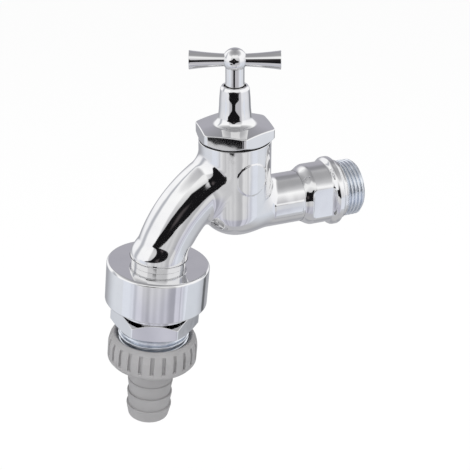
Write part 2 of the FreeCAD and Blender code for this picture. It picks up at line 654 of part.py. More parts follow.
def sealing_ring(label, groove):
    """Rubber ring of round section that fills a groove of the spindle up to the packing bore."""
    ring_solid = doc.addObject("Part::Torus", label + "_solid")
    outer = f"({shaft} + Sizes.running_gap - Sizes.seal_gap)"
    inner = f"({groove_floor} + Sizes.seal_gap)"
    bind(ring_solid, Radius1=f"({outer} + {inner}) / 2", Radius2=f"({outer} - {inner}) / 2")
    finished(label, ring_solid, SPINDLE_FRAME + [shift(along_z=f"{groove} + Sizes.ring_groove_width / 2")])


sealing_ring("spindle_o_ring_lower", "Places.lower_groove")
sealing_ring("spindle_o_ring_upper", "Places.upper_groove")

# Hub of the handle, drawn round the ball's centre with X along the right arm and Y towards the set screw
ARM_TURNS = (("right", QUARTER_TURN), ("left", -QUARTER_TURN))
TOWARDS_BACK = turn(ABOUT_X, -QUARTER_TURN)
neck_length = "(Places.ball_centre - Places.hub_bottom)"
hub_stock = fuse("hub_stock", [
    sphere("ball", "Sizes.ball_diameter / 2"),
    cylinder("handle_neck", "Sizes.handle_neck_diameter / 2", neck_length, f"-{neck_length}"),
])
spindle_hole_radius = "(Sizes.spindle_end_diameter / 2 + Sizes.running_gap)"
spindle_hole_depth = "(Sizes.spindle_end_length + 2 * Sizes.loose_gap)"
spindle_hole = cylinder("spindle_hole", spindle_hole_radius, f"2 * {spindle_hole_depth}",
                        f"-{neck_length} - {spindle_hole_depth}")
screw_hole = cylinder("screw_hole", "Sizes.set_screw_diameter / 2 + Sizes.running_gap",
                      "Sizes.handle_neck_diameter", "0", shift(along_z="-Sizes.set_screw_drop"),
                      TOWARDS_BACK)
arm_inner = "(Sizes.arm_base - Sizes.arm_spigot_length)"
hub_holes = [spindle_hole, screw_hole]
for side, degrees in ARM_TURNS:
    spigot_hole = cylinder(f"spigot_hole_{side}", "Sizes.arm_spigot_diameter / 2 + Sizes.running_gap",
                           "Sizes.ball_diameter", f"{arm_inner} - Sizes.loose_gap",
                           turn(ABOUT_Y, degrees))
    arm_seat = cylinder(f"arm_seat_{side}", "Sizes.arm_base_diameter / 2 + Sizes.running_gap",
                        "Sizes.ball_diameter", "Sizes.arm_base", turn(ABOUT_Y, degrees))
    hub_holes += [spigot_hole, arm_seat]
finished("handle_hub", cut("handle_hub_solid", hub_stock, fuse("hub_holes", hub_holes)), BALL_FRAME)

arm_end_radius = "Sizes.arm_end_diameter / 2"
for side, degrees in ARM_TURNS:
    arm = turned(f"arm_{side}", [
        ("0", arm_inner),
        ("Sizes.arm_spigot_diameter / 2", arm_inner),
        ("Sizes.arm_spigot_diameter / 2", "Sizes.arm_base"),
        ("Sizes.arm_base_diameter / 2", "Sizes.arm_base"),
        (arm_end_radius, "Sizes.arm_reach - Sizes.arm_edge"),
        (f"{arm_end_radius} - Sizes.arm_edge", "Sizes.arm_reach"),
        ("0", "Sizes.arm_reach"),
    ])
    finished(f"handle_arm_{side}", arm, BALL_FRAME + [turn(ABOUT_Y, degrees)])

screw_outer = "Sizes.handle_neck_diameter / 2"
screw_bar = cylinder("screw_bar", "Sizes.set_screw_diameter / 2", f"{screw_outer} - {spindle_hole_radius}",
                     spindle_hole_radius)
screw_socket = hexagonal_bar("screw_socket", "Sizes.set_screw_socket / 2 / cos(30)",
                             "Sizes.set_screw_diameter",
                             f"{screw_outer} - Sizes.set_screw_socket_depth")
finished("handle_set_screw", cut("set_screw_solid", screw_bar, screw_socket),
         BALL_FRAME + [shift(along_z="-Sizes.set_screw_drop"), TOWARDS_BACK])

# Valve head: plate that hangs in the spindle, rubber washer and its screw
screw_shank = "Sizes.washer_screw_diameter / 2"
shank_hole = f"{screw_shank} + Sizes.running_gap"
shank_top = "Places.washer_top + Sizes.washer_screw_grip"
valve_plate = turned("valve_plate_solid", [
    ("0", f"{shank_top} + Sizes.loose_gap"),
    (shank_hole, f"{shank_top} + Sizes.loose_gap"),
    (shank_hole, "Places.washer_top"),
    ("Sizes.plate_diameter / 2", "Places.washer_top"),
    ("Sizes.plate_diameter / 2", "Places.plate_top"),
    ("Sizes.plate_socket_diameter / 2 - Sizes.running_gap", "Places.plate_top"),
    ("Sizes.plate_socket_diameter / 2 - Sizes.running_gap", "Places.plate_top + Sizes.plate_stem_length"),
    ("0", "Places.plate_top + Sizes.plate_stem_length"),
])
finished("valve_plate", valve_plate, SPINDLE_FRAME)
valve_washer = ring("valve_washer_solid", shank_hole, "Sizes.washer_diameter / 2",
                    "Places.seat_face", "Places.washer_top")
finished("valve_washer", valve_washer, SPINDLE_FRAME)
washer_screw = turned("washer_screw_solid", [
    ("0", "Places.seat_face - Sizes.washer_screw_head_height"),
    ("Sizes.washer_screw_head / 2", "Places.seat_face - Sizes.washer_screw_head_height"),
    ("Sizes.washer_screw_head / 2", "Places.seat_face"),
    (screw_shank, "Places.seat_face"),
    (screw_shank, shank_top),
    ("0", shank_top),
])
finished("washer_screw", washer_screw, SPINDLE_FRAME)

# Housing: skirted cup with a threaded sleeve that takes the spout's spigot and the nipple
spigot_hole_radius = "Sizes.spigot_diameter / 2 + Sizes.running_gap"
housing = turned("breaker_housing_solid", [
    (spigot_hole_radius, "0"),
    ("Sizes.housing_diameter / 2", "0"),
    ("Sizes.housing_diameter / 2", "-Sizes.housing_height"),
    ("Sizes.housing_diameter / 2 - Sizes.housing_wall", "-Sizes.housing_height"),
    ("Sizes.housing_diameter / 2 - Sizes.housing_wall", "-Sizes.housing_roof"),
    ("Sizes.sleeve_diameter / 2", "-Sizes.housing_roof"),
    ("Sizes.sleeve_diameter / 2", "-Sizes.sleeve_length"),
    ("Sizes.sleeve_port / 2", "-Sizes.sleeve_length"),
    ("Sizes.sleeve_port / 2", "-Places.shoulder_drop"),
    (spigot_hole_radius, "-Places.shoulder_drop"),
])
rounded(housing, "Sizes.housing_diameter / 2", "0", "Sizes.housing_edge")
rounded(housing, "Sizes.housing_diameter / 2", "-Sizes.housing_height", "Sizes.housing_lip")
finished("breaker_housing", housing, OUTLET_FRAME)
spout_gasket = ring("spout_gasket_solid", "Sizes.sleeve_port / 2 + Sizes.loose_gap",
                    "Sizes.spigot_diameter / 2 - Sizes.loose_gap",
                    "-Places.shoulder_drop", "-Sizes.spigot_length")
finished("spout_gasket", spout_gasket, OUTLET_FRAME)

# Nipple: neck inside the skirt, hexagon, outlet thread, and the rooms of the two inner valves
thread_radius = "Sizes.outlet_thread_diameter / 2"
outlet_ridge_count = ridge_count("Sizes.nipple_bottom - Places.outlet_thread_start",
                                 "Sizes.outlet_thread_pitch")
outlet_ridges = ridges("-Places.outlet_thread_start", "-", thread_radius, "Sizes.outlet_thread_depth",
                       "Sizes.outlet_thread_pitch", outlet_ridge_count)
outlet_root = f"{thread_radius} - Sizes.outlet_thread_depth"
sleeve_hole = "Sizes.sleeve_diameter / 2 + Sizes.running_gap"
hex_flat = "Sizes.nipple_hex_across / 2"
nipple_stock = turned("nipple_stock", [
    (sleeve_hole, "-Sizes.nipple_top"),
    ("Sizes.nipple_neck_diameter / 2", "-Sizes.nipple_top"),
    ("Sizes.nipple_neck_diameter / 2", "-Sizes.nipple_hex_top"),
    (hex_flat, "-Sizes.nipple_hex_top"),
    ("Places.nipple_corner_radius", "-Sizes.nipple_hex_top - Sizes.nipple_upper_chamfer"),
    ("Places.nipple_corner_radius", "-Sizes.nipple_hex_bottom + Sizes.nipple_lower_chamfer"),
    (hex_flat, "-Sizes.nipple_hex_bottom"),
    (outlet_root, "-Sizes.nipple_hex_bottom"),
    (outlet_root, "-Places.outlet_thread_start + Sizes.outlet_relief / 2"),
] + outlet_ridges + [
    (outlet_root, "-Sizes.nipple_bottom"),
    ("Sizes.nipple_bore / 2", "-Sizes.nipple_bottom"),
    ("Sizes.nipple_bore / 2", "-Sizes.float_chamber_bottom"),
    ("Sizes.float_chamber_diameter / 2", "-Sizes.float_chamber_bottom"),
    ("Sizes.float_chamber_diameter / 2", "-Places.float_chamber_top"),
    (sleeve_hole, "-Places.float_chamber_top"),
])
nipple_hex = hexagon_trimmed("nipple_hex", nipple_stock, "Places.nipple_corner_radius",
                             "-Sizes.nipple_hex_bottom",
                             "Sizes.nipple_hex_bottom - Sizes.nipple_hex_top", "Sizes.nipple_hex_turn")


def air_port(name, frame):
    """Bar that drills one air port outwards from the axis."""
    return cylinder(name, "Sizes.air_port_diameter / 2", "Sizes.nipple_neck_diameter", "0", frame,
                    shift(along_z="-Sizes.air_port_drop"), ALONG_X)


air_ports = around("air_ports", int(number("Sizes.air_port_count")), "Sizes.air_port_turn", air_port)
finished("breaker_nipple", cut("breaker_nipple_solid", nipple_hex, air_ports), OUTLET_FRAME)
nipple_gasket = ring("nipple_gasket_solid", f"{sleeve_hole} + Sizes.loose_gap",
                     "Sizes.nipple_neck_diameter / 2 - Sizes.loose_gap",
                     "-Sizes.nipple_top", "-Sizes.housing_roof")
finished("nipple_gasket", nipple_gasket, OUTLET_FRAME)

# Air valve: a float that rises against the sleeve and closes the ports
float_radius = "Sizes.float_chamber_diameter / 2 - 2 * Sizes.loose_gap"
air_valve_ring = ring("air_valve_ring_solid", "Sizes.float_inner_diameter / 2", float_radius,
                      "-Places.cartridge_top", "-Places.cartridge_top + Sizes.float_height")
finished("air_valve_ring", air_valve_ring, OUTLET_FRAME)

# Non-return valve: cartridge, poppet with its seal, spring and the disc that the spring stands on
cartridge_inside = "Sizes.cartridge_bore / 2"
cartridge_outside = "Sizes.nipple_bore / 2 - Sizes.loose_gap"
check_cartridge = turned("check_cartridge_solid", [
    ("Sizes.cartridge_seat / 2", "-Places.cartridge_top"),
    ("Sizes.float_chamber_diameter / 2 - Sizes.loose_gap", "-Places.cartridge_top"),
    ("Sizes.float_chamber_diameter / 2 - Sizes.loose_gap", "-Sizes.float_chamber_bottom"),
    (cartridge_outside, "-Sizes.float_chamber_bottom"),
    (cartridge_outside, "-Places.cartridge_end"),
    (f"{cartridge_inside} - Sizes.cartridge_lip_width", "-Places.cartridge_end"),
    (f"{cartridge_inside} - Sizes.cartridge_lip_width", "-Places.retainer_bottom"),
    (cartridge_inside, "-Places.retainer_bottom"),
    (cartridge_inside, "-Sizes.float_chamber_bottom"),
    ("Sizes.cartridge_seat / 2", "-Sizes.float_chamber_bottom"),
])
finished("check_cartridge", check_cartridge, OUTLET_FRAME)
stem_radius = "Sizes.poppet_stem_diameter / 2"
boss_radius = "Sizes.poppet_boss_diameter / 2"
check_poppet = turned("check_poppet_solid", [
    ("0", "-Places.poppet_bottom - Sizes.poppet_stem_length"),
    (stem_radius, "-Places.poppet_bottom - Sizes.poppet_stem_length"),
    (stem_radius, "-Places.poppet_bottom"),
    ("Sizes.poppet_diameter / 2", "-Places.poppet_bottom"),
    ("Sizes.poppet_diameter / 2", "-Places.poppet_top"),
    (boss_radius, "-Places.poppet_top"),
    (boss_radius, "-Places.poppet_top + Sizes.poppet_boss_rise"),
    ("0", "-Places.poppet_top + Sizes.poppet_boss_rise"),
])
finished("check_poppet", check_poppet, OUTLET_FRAME)
poppet_seal = ring("poppet_seal_solid", f"{boss_radius} + Sizes.loose_gap", "Sizes.poppet_diameter / 2",
                   "-Places.poppet_top", "-Sizes.float_chamber_bottom")
finished("poppet_seal", poppet_seal, OUTLET_FRAME)
retainer_disc = ring("retainer_disc", f"{stem_radius} + Sizes.loose_gap",
                     f"{cartridge_inside} - Sizes.loose_gap",
                     "-Places.retainer_bottom", "-Places.retainer_top")


def retainer_hole(name, frame):
    """Bar that drills one waterway of the retainer."""
    return cylinder(name, "Sizes.retainer_hole_diameter / 2", "2 * Sizes.retainer_thickness",
                    "-Places.retainer_bottom - Sizes.retainer_thickness / 2",
                    frame, shift(along_x="Sizes.retainer_hole_circle / 2"))


retainer_holes = around("retainer_holes", int(number("Sizes.retainer_hole_count")), "0", retainer_hole)
finished("check_retainer", cut("check_retainer_solid", retainer_disc, retainer_holes), OUTLET_FRAME)

# Spring: round wire swept along a helix, a hair short of the two faces that it pushes apart
spring_body = doc.addObject("PartDesign::Body", "check_spring_solid")
wire = spring_body.newObject("Sketcher::SketchObject", "spring_wire")
wire.AttachmentSupport = [(origin_feature(spring_body, "XZ_Plane"), "")]
wire.MapMode = "FlatFace"
wire_radius = "Sizes.spring_wire_diameter / 2"
spring_end_gaps = "(Sizes.spring_wire_diameter + 2 * Sizes.loose_gap)"
spring_room = f"Places.retainer_top - Places.poppet_bottom - {spring_end_gaps}"
spring_bottom = f"-Places.retainer_top + {wire_radius} + Sizes.loose_gap"
wire_centre = FreeCAD.Vector(number("Sizes.spring_coil_diameter / 2"), number(spring_bottom), 0)
wire.addGeometry(Part.Circle(wire_centre, UP, number(wire_radius)))
for kind, expression in (("DistanceX", "Sizes.spring_coil_diameter / 2"), ("DistanceY", spring_bottom)):
    index = wire.addConstraint(Sketcher.Constraint(kind, -1, 1, 0, 3, number(expression)))
    wire.setExpression(f"Constraints[{index}]", expression)
index = wire.addConstraint(Sketcher.Constraint("Radius", 0, number(wire_radius)))
wire.setExpression(f"Constraints[{index}]", wire_radius)
coil = spring_body.newObject("PartDesign::AdditiveHelix", "spring_coil")
coil.Profile = wire
coil.ReferenceAxis = (wire, ["V_Axis"])
coil.Mode = "height-turns-angle"
coil.Angle = 0
bind(coil, Height=spring_room, Turns="Sizes.spring_turns")
doc.recompute()
finished("check_spring", spring_body, OUTLET_FRAME)

# Union: flat washer, barbed tail and ribbed nut
union_gasket = ring("union_gasket_solid", "Sizes.union_gasket_bore / 2", "Sizes.tail_collar_diameter / 2",
                    "-Places.gasket_bottom", "-Sizes.nipple_bottom")
finished("union_gasket", union_gasket, OUTLET_FRAME)
barb_corners = []
barb_radius = "Sizes.barb_diameter / 2"
for barb in range(int(number("Sizes.barb_count"))):
    crest = f"Sizes.barb_start + {barb} * Sizes.barb_pitch"
    root = "Sizes.tail_diameter / 2" if barb == 0 else "Sizes.barb_root_diameter / 2"
    barb_corners += [
        (root, f"-({crest})"),
        (barb_radius, f"-({crest})"),
        (barb_radius, f"-({crest} + Sizes.barb_land)"),
    ]
tail = turned("hose_tail_solid", [
    ("Sizes.tail_bore / 2", "-Places.gasket_bottom"),
    ("Sizes.tail_collar_diameter / 2", "-Places.gasket_bottom"),
    ("Sizes.tail_collar_diameter / 2", "-Places.collar_bottom"),
    ("Sizes.tail_diameter / 2", "-Places.collar_bottom"),
] + barb_corners + [
    ("Sizes.barb_root_diameter / 2", "-Sizes.tail_end"),
    ("Sizes.tail_bore / 2", "-Sizes.tail_end"),
])
rounded(tail, "Sizes.barb_root_diameter / 2", "-Sizes.tail_end", "Sizes.tail_end_rounding")
finished("hose_tail", tail, OUTLET_FRAME)

nut_radius = "Sizes.nut_diameter / 2"
nut_stock = turned("nut_stock", [
    (f"{thread_radius} + Sizes.running_gap", "-Sizes.nut_top - Sizes.nut_mouth_depth"),
    ("Sizes.nut_mouth_diameter / 2", "-Sizes.nut_top"),
    ("Sizes.nut_mouth_diameter / 2 + Sizes.nut_lip_width", "-Sizes.nut_top"),
    ("Sizes.nut_shoulder_diameter / 2", "-Sizes.nut_top - Sizes.nut_shoulder_drop"),
    (nut_radius, "-Sizes.nut_top - Sizes.nut_full_drop"),
    (nut_radius, "-Places.nut_bottom + Sizes.nut_lower_taper"),
    ("Sizes.nut_lower_diameter / 2", "-Places.nut_bottom"),
    ("Sizes.tail_diameter / 2 + 3 * Sizes.loose_gap", "-Places.nut_bottom"),
    ("Sizes.tail_diameter / 2 + 3 * Sizes.loose_gap", "-Places.collar_bottom"),
    (f"{thread_radius} + Sizes.running_gap", "-Places.collar_bottom"),
])


def nut_groove(name, frame):
    """Upright slot between two ribs of the nut."""
    slot = doc.addObject("Part::Box", name)
    bind(slot, Length="2 * Sizes.nut_groove_depth", Width="Sizes.nut_groove_width",
         Height="Sizes.nut_groove_length")
    groove_bottom = "-Sizes.nut_top - Sizes.nut_groove_start - Sizes.nut_groove_length"
    return placed(slot, frame, shift(f"{nut_radius} - Sizes.nut_groove_depth",
                                     "-Sizes.nut_groove_width / 2", groove_bottom))


nut_grooves = around("nut_grooves", int(number("Sizes.nut_groove_count")), "Sizes.nut_groove_turn",
                     nut_groove)
finished("union_nut", cut("union_nut_solid", nut_stock, nut_grooves), OUTLET_FRAME)

# Check every object before anything is written
doc.recompute()
for item in doc.Objects:
    if {"Invalid", "Error"} & set(item.State):
        raise RuntimeError(f"{item.Name} did not rebuild: {item.State}")
os.makedirs("parts", exist_ok=True)
for node in nodes:
    if node.Shape.isNull() or not node.Shape.isValid():
        raise RuntimeError(f"{node.Label} has no valid shape")
    if len(node.Shape.Solids) != 1:
        raise RuntimeError(f"{node.Label} is {len(node.Shape.Solids)} solids")
    print(node.Label, "volume", round(node.Shape.Volume, 1))
for node in nodes:
    node.Shape.exportStep(f"parts/{node.Label}.step")
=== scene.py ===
"""Looks of a chromed drain valve with a backflow housing, a union nut and a hose tail.

Lengths are in millimetres in the classes and become metres when a mesh is made. +Z runs up the spindle and
+X along the inlet towards the wall, with the origin at the centre of the inlet's sealing face.
"""

import logging
import math
from collections.abc import Callable, Sequence
from dataclasses import dataclass, field
from enum import Enum

import bpy
import numpy as np
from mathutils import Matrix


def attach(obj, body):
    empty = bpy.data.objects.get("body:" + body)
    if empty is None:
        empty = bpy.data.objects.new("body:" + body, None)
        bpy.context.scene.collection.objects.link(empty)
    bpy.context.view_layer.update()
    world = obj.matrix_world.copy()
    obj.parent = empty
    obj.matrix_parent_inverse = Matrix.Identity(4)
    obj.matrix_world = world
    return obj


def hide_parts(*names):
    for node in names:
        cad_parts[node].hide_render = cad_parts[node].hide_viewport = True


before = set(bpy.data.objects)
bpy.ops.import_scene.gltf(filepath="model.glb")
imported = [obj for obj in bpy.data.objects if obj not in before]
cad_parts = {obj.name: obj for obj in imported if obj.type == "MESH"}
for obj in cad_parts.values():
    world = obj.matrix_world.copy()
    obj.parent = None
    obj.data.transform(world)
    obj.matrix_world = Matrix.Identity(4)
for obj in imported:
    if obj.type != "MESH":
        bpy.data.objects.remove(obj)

LOG = logging.getLogger("drain_valve")
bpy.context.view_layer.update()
METRES = 0.001
TINY = 1e-9  # least length that something is divided by
NUDGE = 1e-4  # step for slopes, in radians or millimetres
POLE_RADIUS = 5e-4  # radius in millimetres below which a row counts as a pole
NEARLY = 1e-5  # distance below which two points or two columns are one, in millimetres or radians
LONGEST_COSINE = 0.9999999  # keeps the arc of a corner that is almost straight
LARGEST_SHARE = 0.49  # of the shorter side of a corner, for its arc

Array = np.ndarray
Corners = Callable[[Array], Array]
Colour = tuple[float, float, float, float]
Triple = tuple[float, float, float]
Span = tuple[float, float]
Material = bpy.types.Material
Piece = bpy.types.Object
Tree = bpy.types.NodeTree
Source = bpy.types.Node | bpy.types.NodeSocket


class Slot(Enum):
    """Material slots of the record, one for each finish."""

    CHROME = "chrome_plate"
    RUBBER = "black_rubber"
    BRASS = "brass"
    STEEL = "spring_steel"
    WHITE_PLASTIC = "white_plastic"
    GREY_PLASTIC = "grey_plastic"


class Body(Enum):
    """Moving bodies of the model that new pieces ride on."""

    BODY = "body"
    HANDLE = "handle"
    NUT = "nut"
    TAIL = "tail"


# Colours and nodes


def linear(code: str) -> Colour:
    """Turn an sRGB hex value into a linear colour with full opacity.

    Args:
        code: six hex digits.

    Returns:
        Red, green, blue and alpha.
    """
    parts = np.array([int(code[start:start + 2], 16) / 255 for start in (0, 2, 4)])
    low = parts / 12.92
    high = ((parts + 0.055) / 1.055) ** 2.4
    red, green, blue = np.where(parts <= 0.04045, low, high)
    return float(red), float(green), float(blue), 1.0


def add_node(tree: Tree, kind: str, settings: dict | None = None,
             inputs: dict | None = None) -> bpy.types.Node:
    """Add a node with its settings, and set or link its inputs.

    Args:
        tree: node tree that gets the node.
        kind: type name of the node.
        settings: attributes of the node.
        inputs: by input name or number, a value, an output socket, or a node, which means its first
            output in use.

    Returns:
        The new node.
    """
    node = tree.nodes.new(kind)
    for name, value in (settings or {}).items():
        setattr(node, name, value)
    for name, value in (inputs or {}).items():
        if isinstance(value, bpy.types.Node):
            value = next(socket for socket in value.outputs if socket.enabled)
        if isinstance(value, bpy.types.NodeSocket):
            tree.links.new(value, node.inputs[name])
        else:
            node.inputs[name].default_value = value
    return node


def smooth_step(value: Array, low: float, high: float) -> Array:
    """Rise from 0 to 1 between two values, with level ends: 3 t squared less 2 t cubed."""
    share = np.clip((value - low) / (high - low), 0, 1)
    return share * share * (3 - 2 * share)


# Surfaces


@dataclass
class Surface:
    """Grid of points, rows along the profile and columns round it, with the normal of each point."""

    points: Array
    normals: Array

    def placed(self, place: "Place") -> "Surface":
        """Carry the surface from a sub-assembly's own frame to the object's frame."""
        return Surface(place.carry(self.points), place.turn(self.normals))


@dataclass(frozen=True)
class Place:
    """Frame of a sub-assembly: its origin and the directions of its three axes in the object's frame."""

    origin: Triple
    x_axis: Triple = (1.0, 0.0, 0.0)
    y_axis: Triple = (0.0, 1.0, 0.0)
    z_axis: Triple = (0.0, 0.0, 1.0)

    def turn(self, vectors: Array) -> Array:
        """Turn directions into the object's frame."""
        return vectors @ np.array([self.x_axis, self.y_axis, self.z_axis])

    def carry(self, points: Array) -> Array:
        """Carry points into the object's frame."""
        return self.turn(points) + np.array(self.origin)

    def inverse(self, points: Array) -> Array:
        """Carry points of the object's frame into this frame."""
        return (points - np.array(self.origin)) @ np.array([self.x_axis, self.y_axis, self.z_axis]).T


def unit(vectors: Array) -> Array:
    """Scale vectors to length one."""
    return vectors / np.maximum(np.linalg.norm(vectors, axis=-1, keepdims=True), TINY)


def rounded_rows(corners: Array, radii: Sequence[float], steps: int) -> tuple[Array, Array]:
    """Points and directions along a profile whose corners are arcs.

    Each corner P with neighbours A and B becomes an arc of the given radius that touches PA and PB. Its
    centre lies on the line that halves the angle, at radius over the sine of half the angle, and the points
    swing from one touching point to the other at an even rate.

    Args:
        corners: radius and height of each corner for each angle, shape (corners, angles, 2).
        radii: radius of the arc at each corner but the first and last.
        steps: pieces in each arc.

    Returns:
        Points and unit directions of travel, both of shape (rows, angles, 2).
    """
    first = unit(corners[1] - corners[0])
    last = unit(corners[-1] - corners[-2])
    points, directions = [corners[0]], [first]
    share = np.linspace(0, 1, steps + 1)[:, None, None]
    for index, radius in enumerate(radii, start=1):
        here = corners[index]
        back, ahead = corners[index - 1] - here, corners[index + 1] - here
        shorter = np.minimum(np.linalg.norm(back, axis=-1), np.linalg.norm(ahead, axis=-1))[:, None]
        back, ahead = unit(back), unit(ahead)
        cosine = np.clip((back * ahead).sum(-1, keepdims=True), -LONGEST_COSINE, LONGEST_COSINE)
        half = np.arccos(cosine) / 2
        reach = np.minimum(radius / np.tan(half), LARGEST_SHARE * shorter)
        size = reach * np.tan(half)
        centre = here + unit(back + ahead) * size / np.sin(half)
        start, end = (here + back * reach - centre) / size, (here + ahead * reach - centre) / size
        swing = math.pi - 2 * half
        spread = np.maximum(np.sin(swing), TINY)
        arc = np.sin((1 - share) * swing) * start + np.sin(share * swing) * end
        points.append(centre + size * arc / spread)
        directions.append(unit(np.cos(share * swing) * end - np.cos((1 - share) * swing) * start))
    points.append(corners[-1])
    directions.append(last)
    stack = [item if item.ndim == 3 else item[None] for item in points]
    lean = [item if item.ndim == 3 else item[None] for item in directions]
    return np.concatenate(stack), np.concatenate(lean)


def round_axis(angles: Array, radius: Array | float, heights: Array) -> Array:
    """Points at a radius and height for each angle: (radius cos a, radius sin a, height)."""
    return np.stack([radius * np.cos(angles), radius * np.sin(angles), heights], axis=-1)


def corner_rows(pairs: Sequence[tuple[float | Array, float | Array]], angles: Array) -> Array:
    """Corners as one array, from radii and heights that are one number or one for each angle."""
    return np.stack([np.stack([np.broadcast_to(value, angles.shape) for value in pair], axis=-1)
                     for pair in pairs])


def fixed(pairs: Sequence[Span]) -> Corners:
    """Corners that are the same all the way round."""
    return lambda angles: corner_rows(pairs, angles)


def turned(corners: Corners, radii: Sequence[float], angles: Array, steps: int = 4) -> Surface:
    """Surface of a profile carried once round its axis, where the corners may depend on the angle.

    The normal is the cross product of the change with the angle and the direction along the profile. The
    profile runs with the solid on its left, so that normals point outwards. At a pole nothing changes with
    the angle, and the level direction round the axis stands in.

    Args:
        corners: gives the corners' radius and height for an array of angles.
        radii: arc at each corner but the first and last.
        angles: columns, in radians.
        steps: pieces in each arc.

    Returns:
        The surface in the profile's own frame.
    """
    rows, along = rounded_rows(corners(angles), radii, steps)
    after = rounded_rows(corners(angles + NUDGE), radii, steps)[0]
    before = rounded_rows(corners(angles - NUDGE), radii, steps)[0]
    around = round_axis(angles + NUDGE, after[..., 0], after[..., 1])
    around = around - round_axis(angles - NUDGE, before[..., 0], before[..., 1])
    poles = np.linalg.norm(around, axis=-1, keepdims=True) < 2 * NUDGE * POLE_RADIUS
    around = np.where(poles, round_axis(angles + math.pi / 2, 1.0, np.zeros_like(angles)), around)
    lengthwise = round_axis(angles, along[..., 0], along[..., 1])
    return Surface(round_axis(angles, rows[..., 0], rows[..., 1]), unit(np.cross(unit(around), lengthwise)))


def fitted(shape: Callable[[Array, Array], Array], angles: Array, heights: Array) -> Surface:
    """Surface of a function of the angle and a second parameter, with normals from small steps in both.

    Args:
        shape: gives points for broadcast angles and parameters.
        angles: columns, in radians.
        heights: rows.

    Returns:
        The surface in its own frame.
    """
    columns, rows = np.meshgrid(angles, heights)
    around = shape(columns + NUDGE, rows) - shape(columns - NUDGE, rows)
    along = shape(columns, rows + NUDGE) - shape(columns, rows - NUDGE)
    return Surface(shape(columns, rows), unit(np.cross(unit(around), unit(along))))


def even_angles(count: int) -> Array:
    """Columns at even spacing, without a second one at the seam."""
    return np.arange(count) * (2 * math.pi / count)


def with_extra(count: int, extra: Array) -> Array:
    """Even columns plus extra ones, sorted, without near doubles.

    Args:
        count: number of even columns.
        extra: the others, in radians.

    Returns:
        All columns, from 0 to a full turn.
    """
    joined = np.sort(np.concatenate([even_angles(count), np.mod(extra, 2 * math.pi)]))
    gaps = np.diff(joined, append=joined[0] + 2 * math.pi)
    return joined[gaps > NEARLY]


@dataclass(frozen=True)
class Hexagon:
    """Hexagon across its flats with rounded edges, one edge turned from the X axis by an angle."""

    across: float
    turn: float
    edge: float
    edge_columns: int = 9

    @property
    def inside(self) -> float:
        """Radius of the circle that touches the flats."""
        return self.across / 2

    @property
    def flat_limit(self) -> float:
        """Angle from a flat's middle to where the edge's rounding starts."""
        return math.atan((self.inside - self.edge) * math.tan(math.pi / 6) / self.inside)

    def radius(self, angles: Array) -> Array:
        """Distance from the axis to the hexagon.

        On a flat it is half the width over the cosine of the angle from the flat's middle. Near an edge it
        is the far point of the circle that rounds the edge.

        Args:
            angles: in radians.

        Returns:
            One distance for each angle.
        """
        beta = np.abs(np.mod(angles - math.radians(self.turn), math.pi / 3) - math.pi / 6)
        centre = (self.inside - self.edge) / math.cos(math.pi / 6)
        gamma = math.pi / 6 - beta
        half_chord = np.sqrt(np.maximum(self.edge ** 2 - (centre * np.sin(gamma)) ** 2, 0))
        far = centre * np.cos(gamma) + half_chord
        return np.where(beta > self.flat_limit, far, self.inside / np.cos(beta))

    def columns(self, count: int) -> Array:
        """Even columns with extra ones on the rounded edges.

        Args:
            count: number of even columns.

        Returns:
            Angles of the columns.
        """
        offsets = np.linspace(-1, 1, self.edge_columns) * (math.pi / 6 - self.flat_limit)
        edges = math.radians(self.turn) + np.arange(6) * math.pi / 3
        return with_extra(count, (edges[:, None] + offsets).ravel())


# Meshes


def grid_faces(rows: int, columns: int, start: int) -> Array:
    """Four-cornered faces of a grid whose last column joins its first.

    Args:
        rows: rows of points.
        columns: columns of points.
        start: number of the first point.

    Returns:
        Point numbers, shape (faces, 4).
    """
    numbers = np.arange(rows * columns).reshape(rows, columns) + start
    right = np.roll(numbers, -1, axis=1)
    return np.stack([numbers[:-1], right[:-1], right[1:], numbers[1:]], axis=-1).reshape(-1, 4)


def joined_mesh(name: str, surfaces: Sequence[Surface]) -> Piece:
    """One mesh object of several surfaces that close on themselves round their axes.

    A row whose points all meet is a pole: its points become one, and its faces become triangles.

    Args:
        name: name of the piece.
        surfaces: surfaces in the object's frame, in millimetres.

    Returns:
        The new object, in metres.
    """
    points, normals, faces, start = [], [], [], 0
    for surface in surfaces:
        rows, columns = surface.points.shape[:2]
        points.append(surface.points.reshape(-1, 3))
        normals.append(surface.normals.reshape(-1, 3))
        quads = grid_faces(rows, columns, start)
        for row in (0, rows - 1):
            line = surface.points[row]
            if np.ptp(line, axis=0).max() < NEARLY:
                numbers = np.arange(columns) + start + row * columns
                quads = np.where(np.isin(quads, numbers), numbers[0], quads)
        faces.append(quads)
        start += rows * columns
    return mesh_object(name, np.concatenate(points), np.concatenate(normals), np.concatenate(faces))


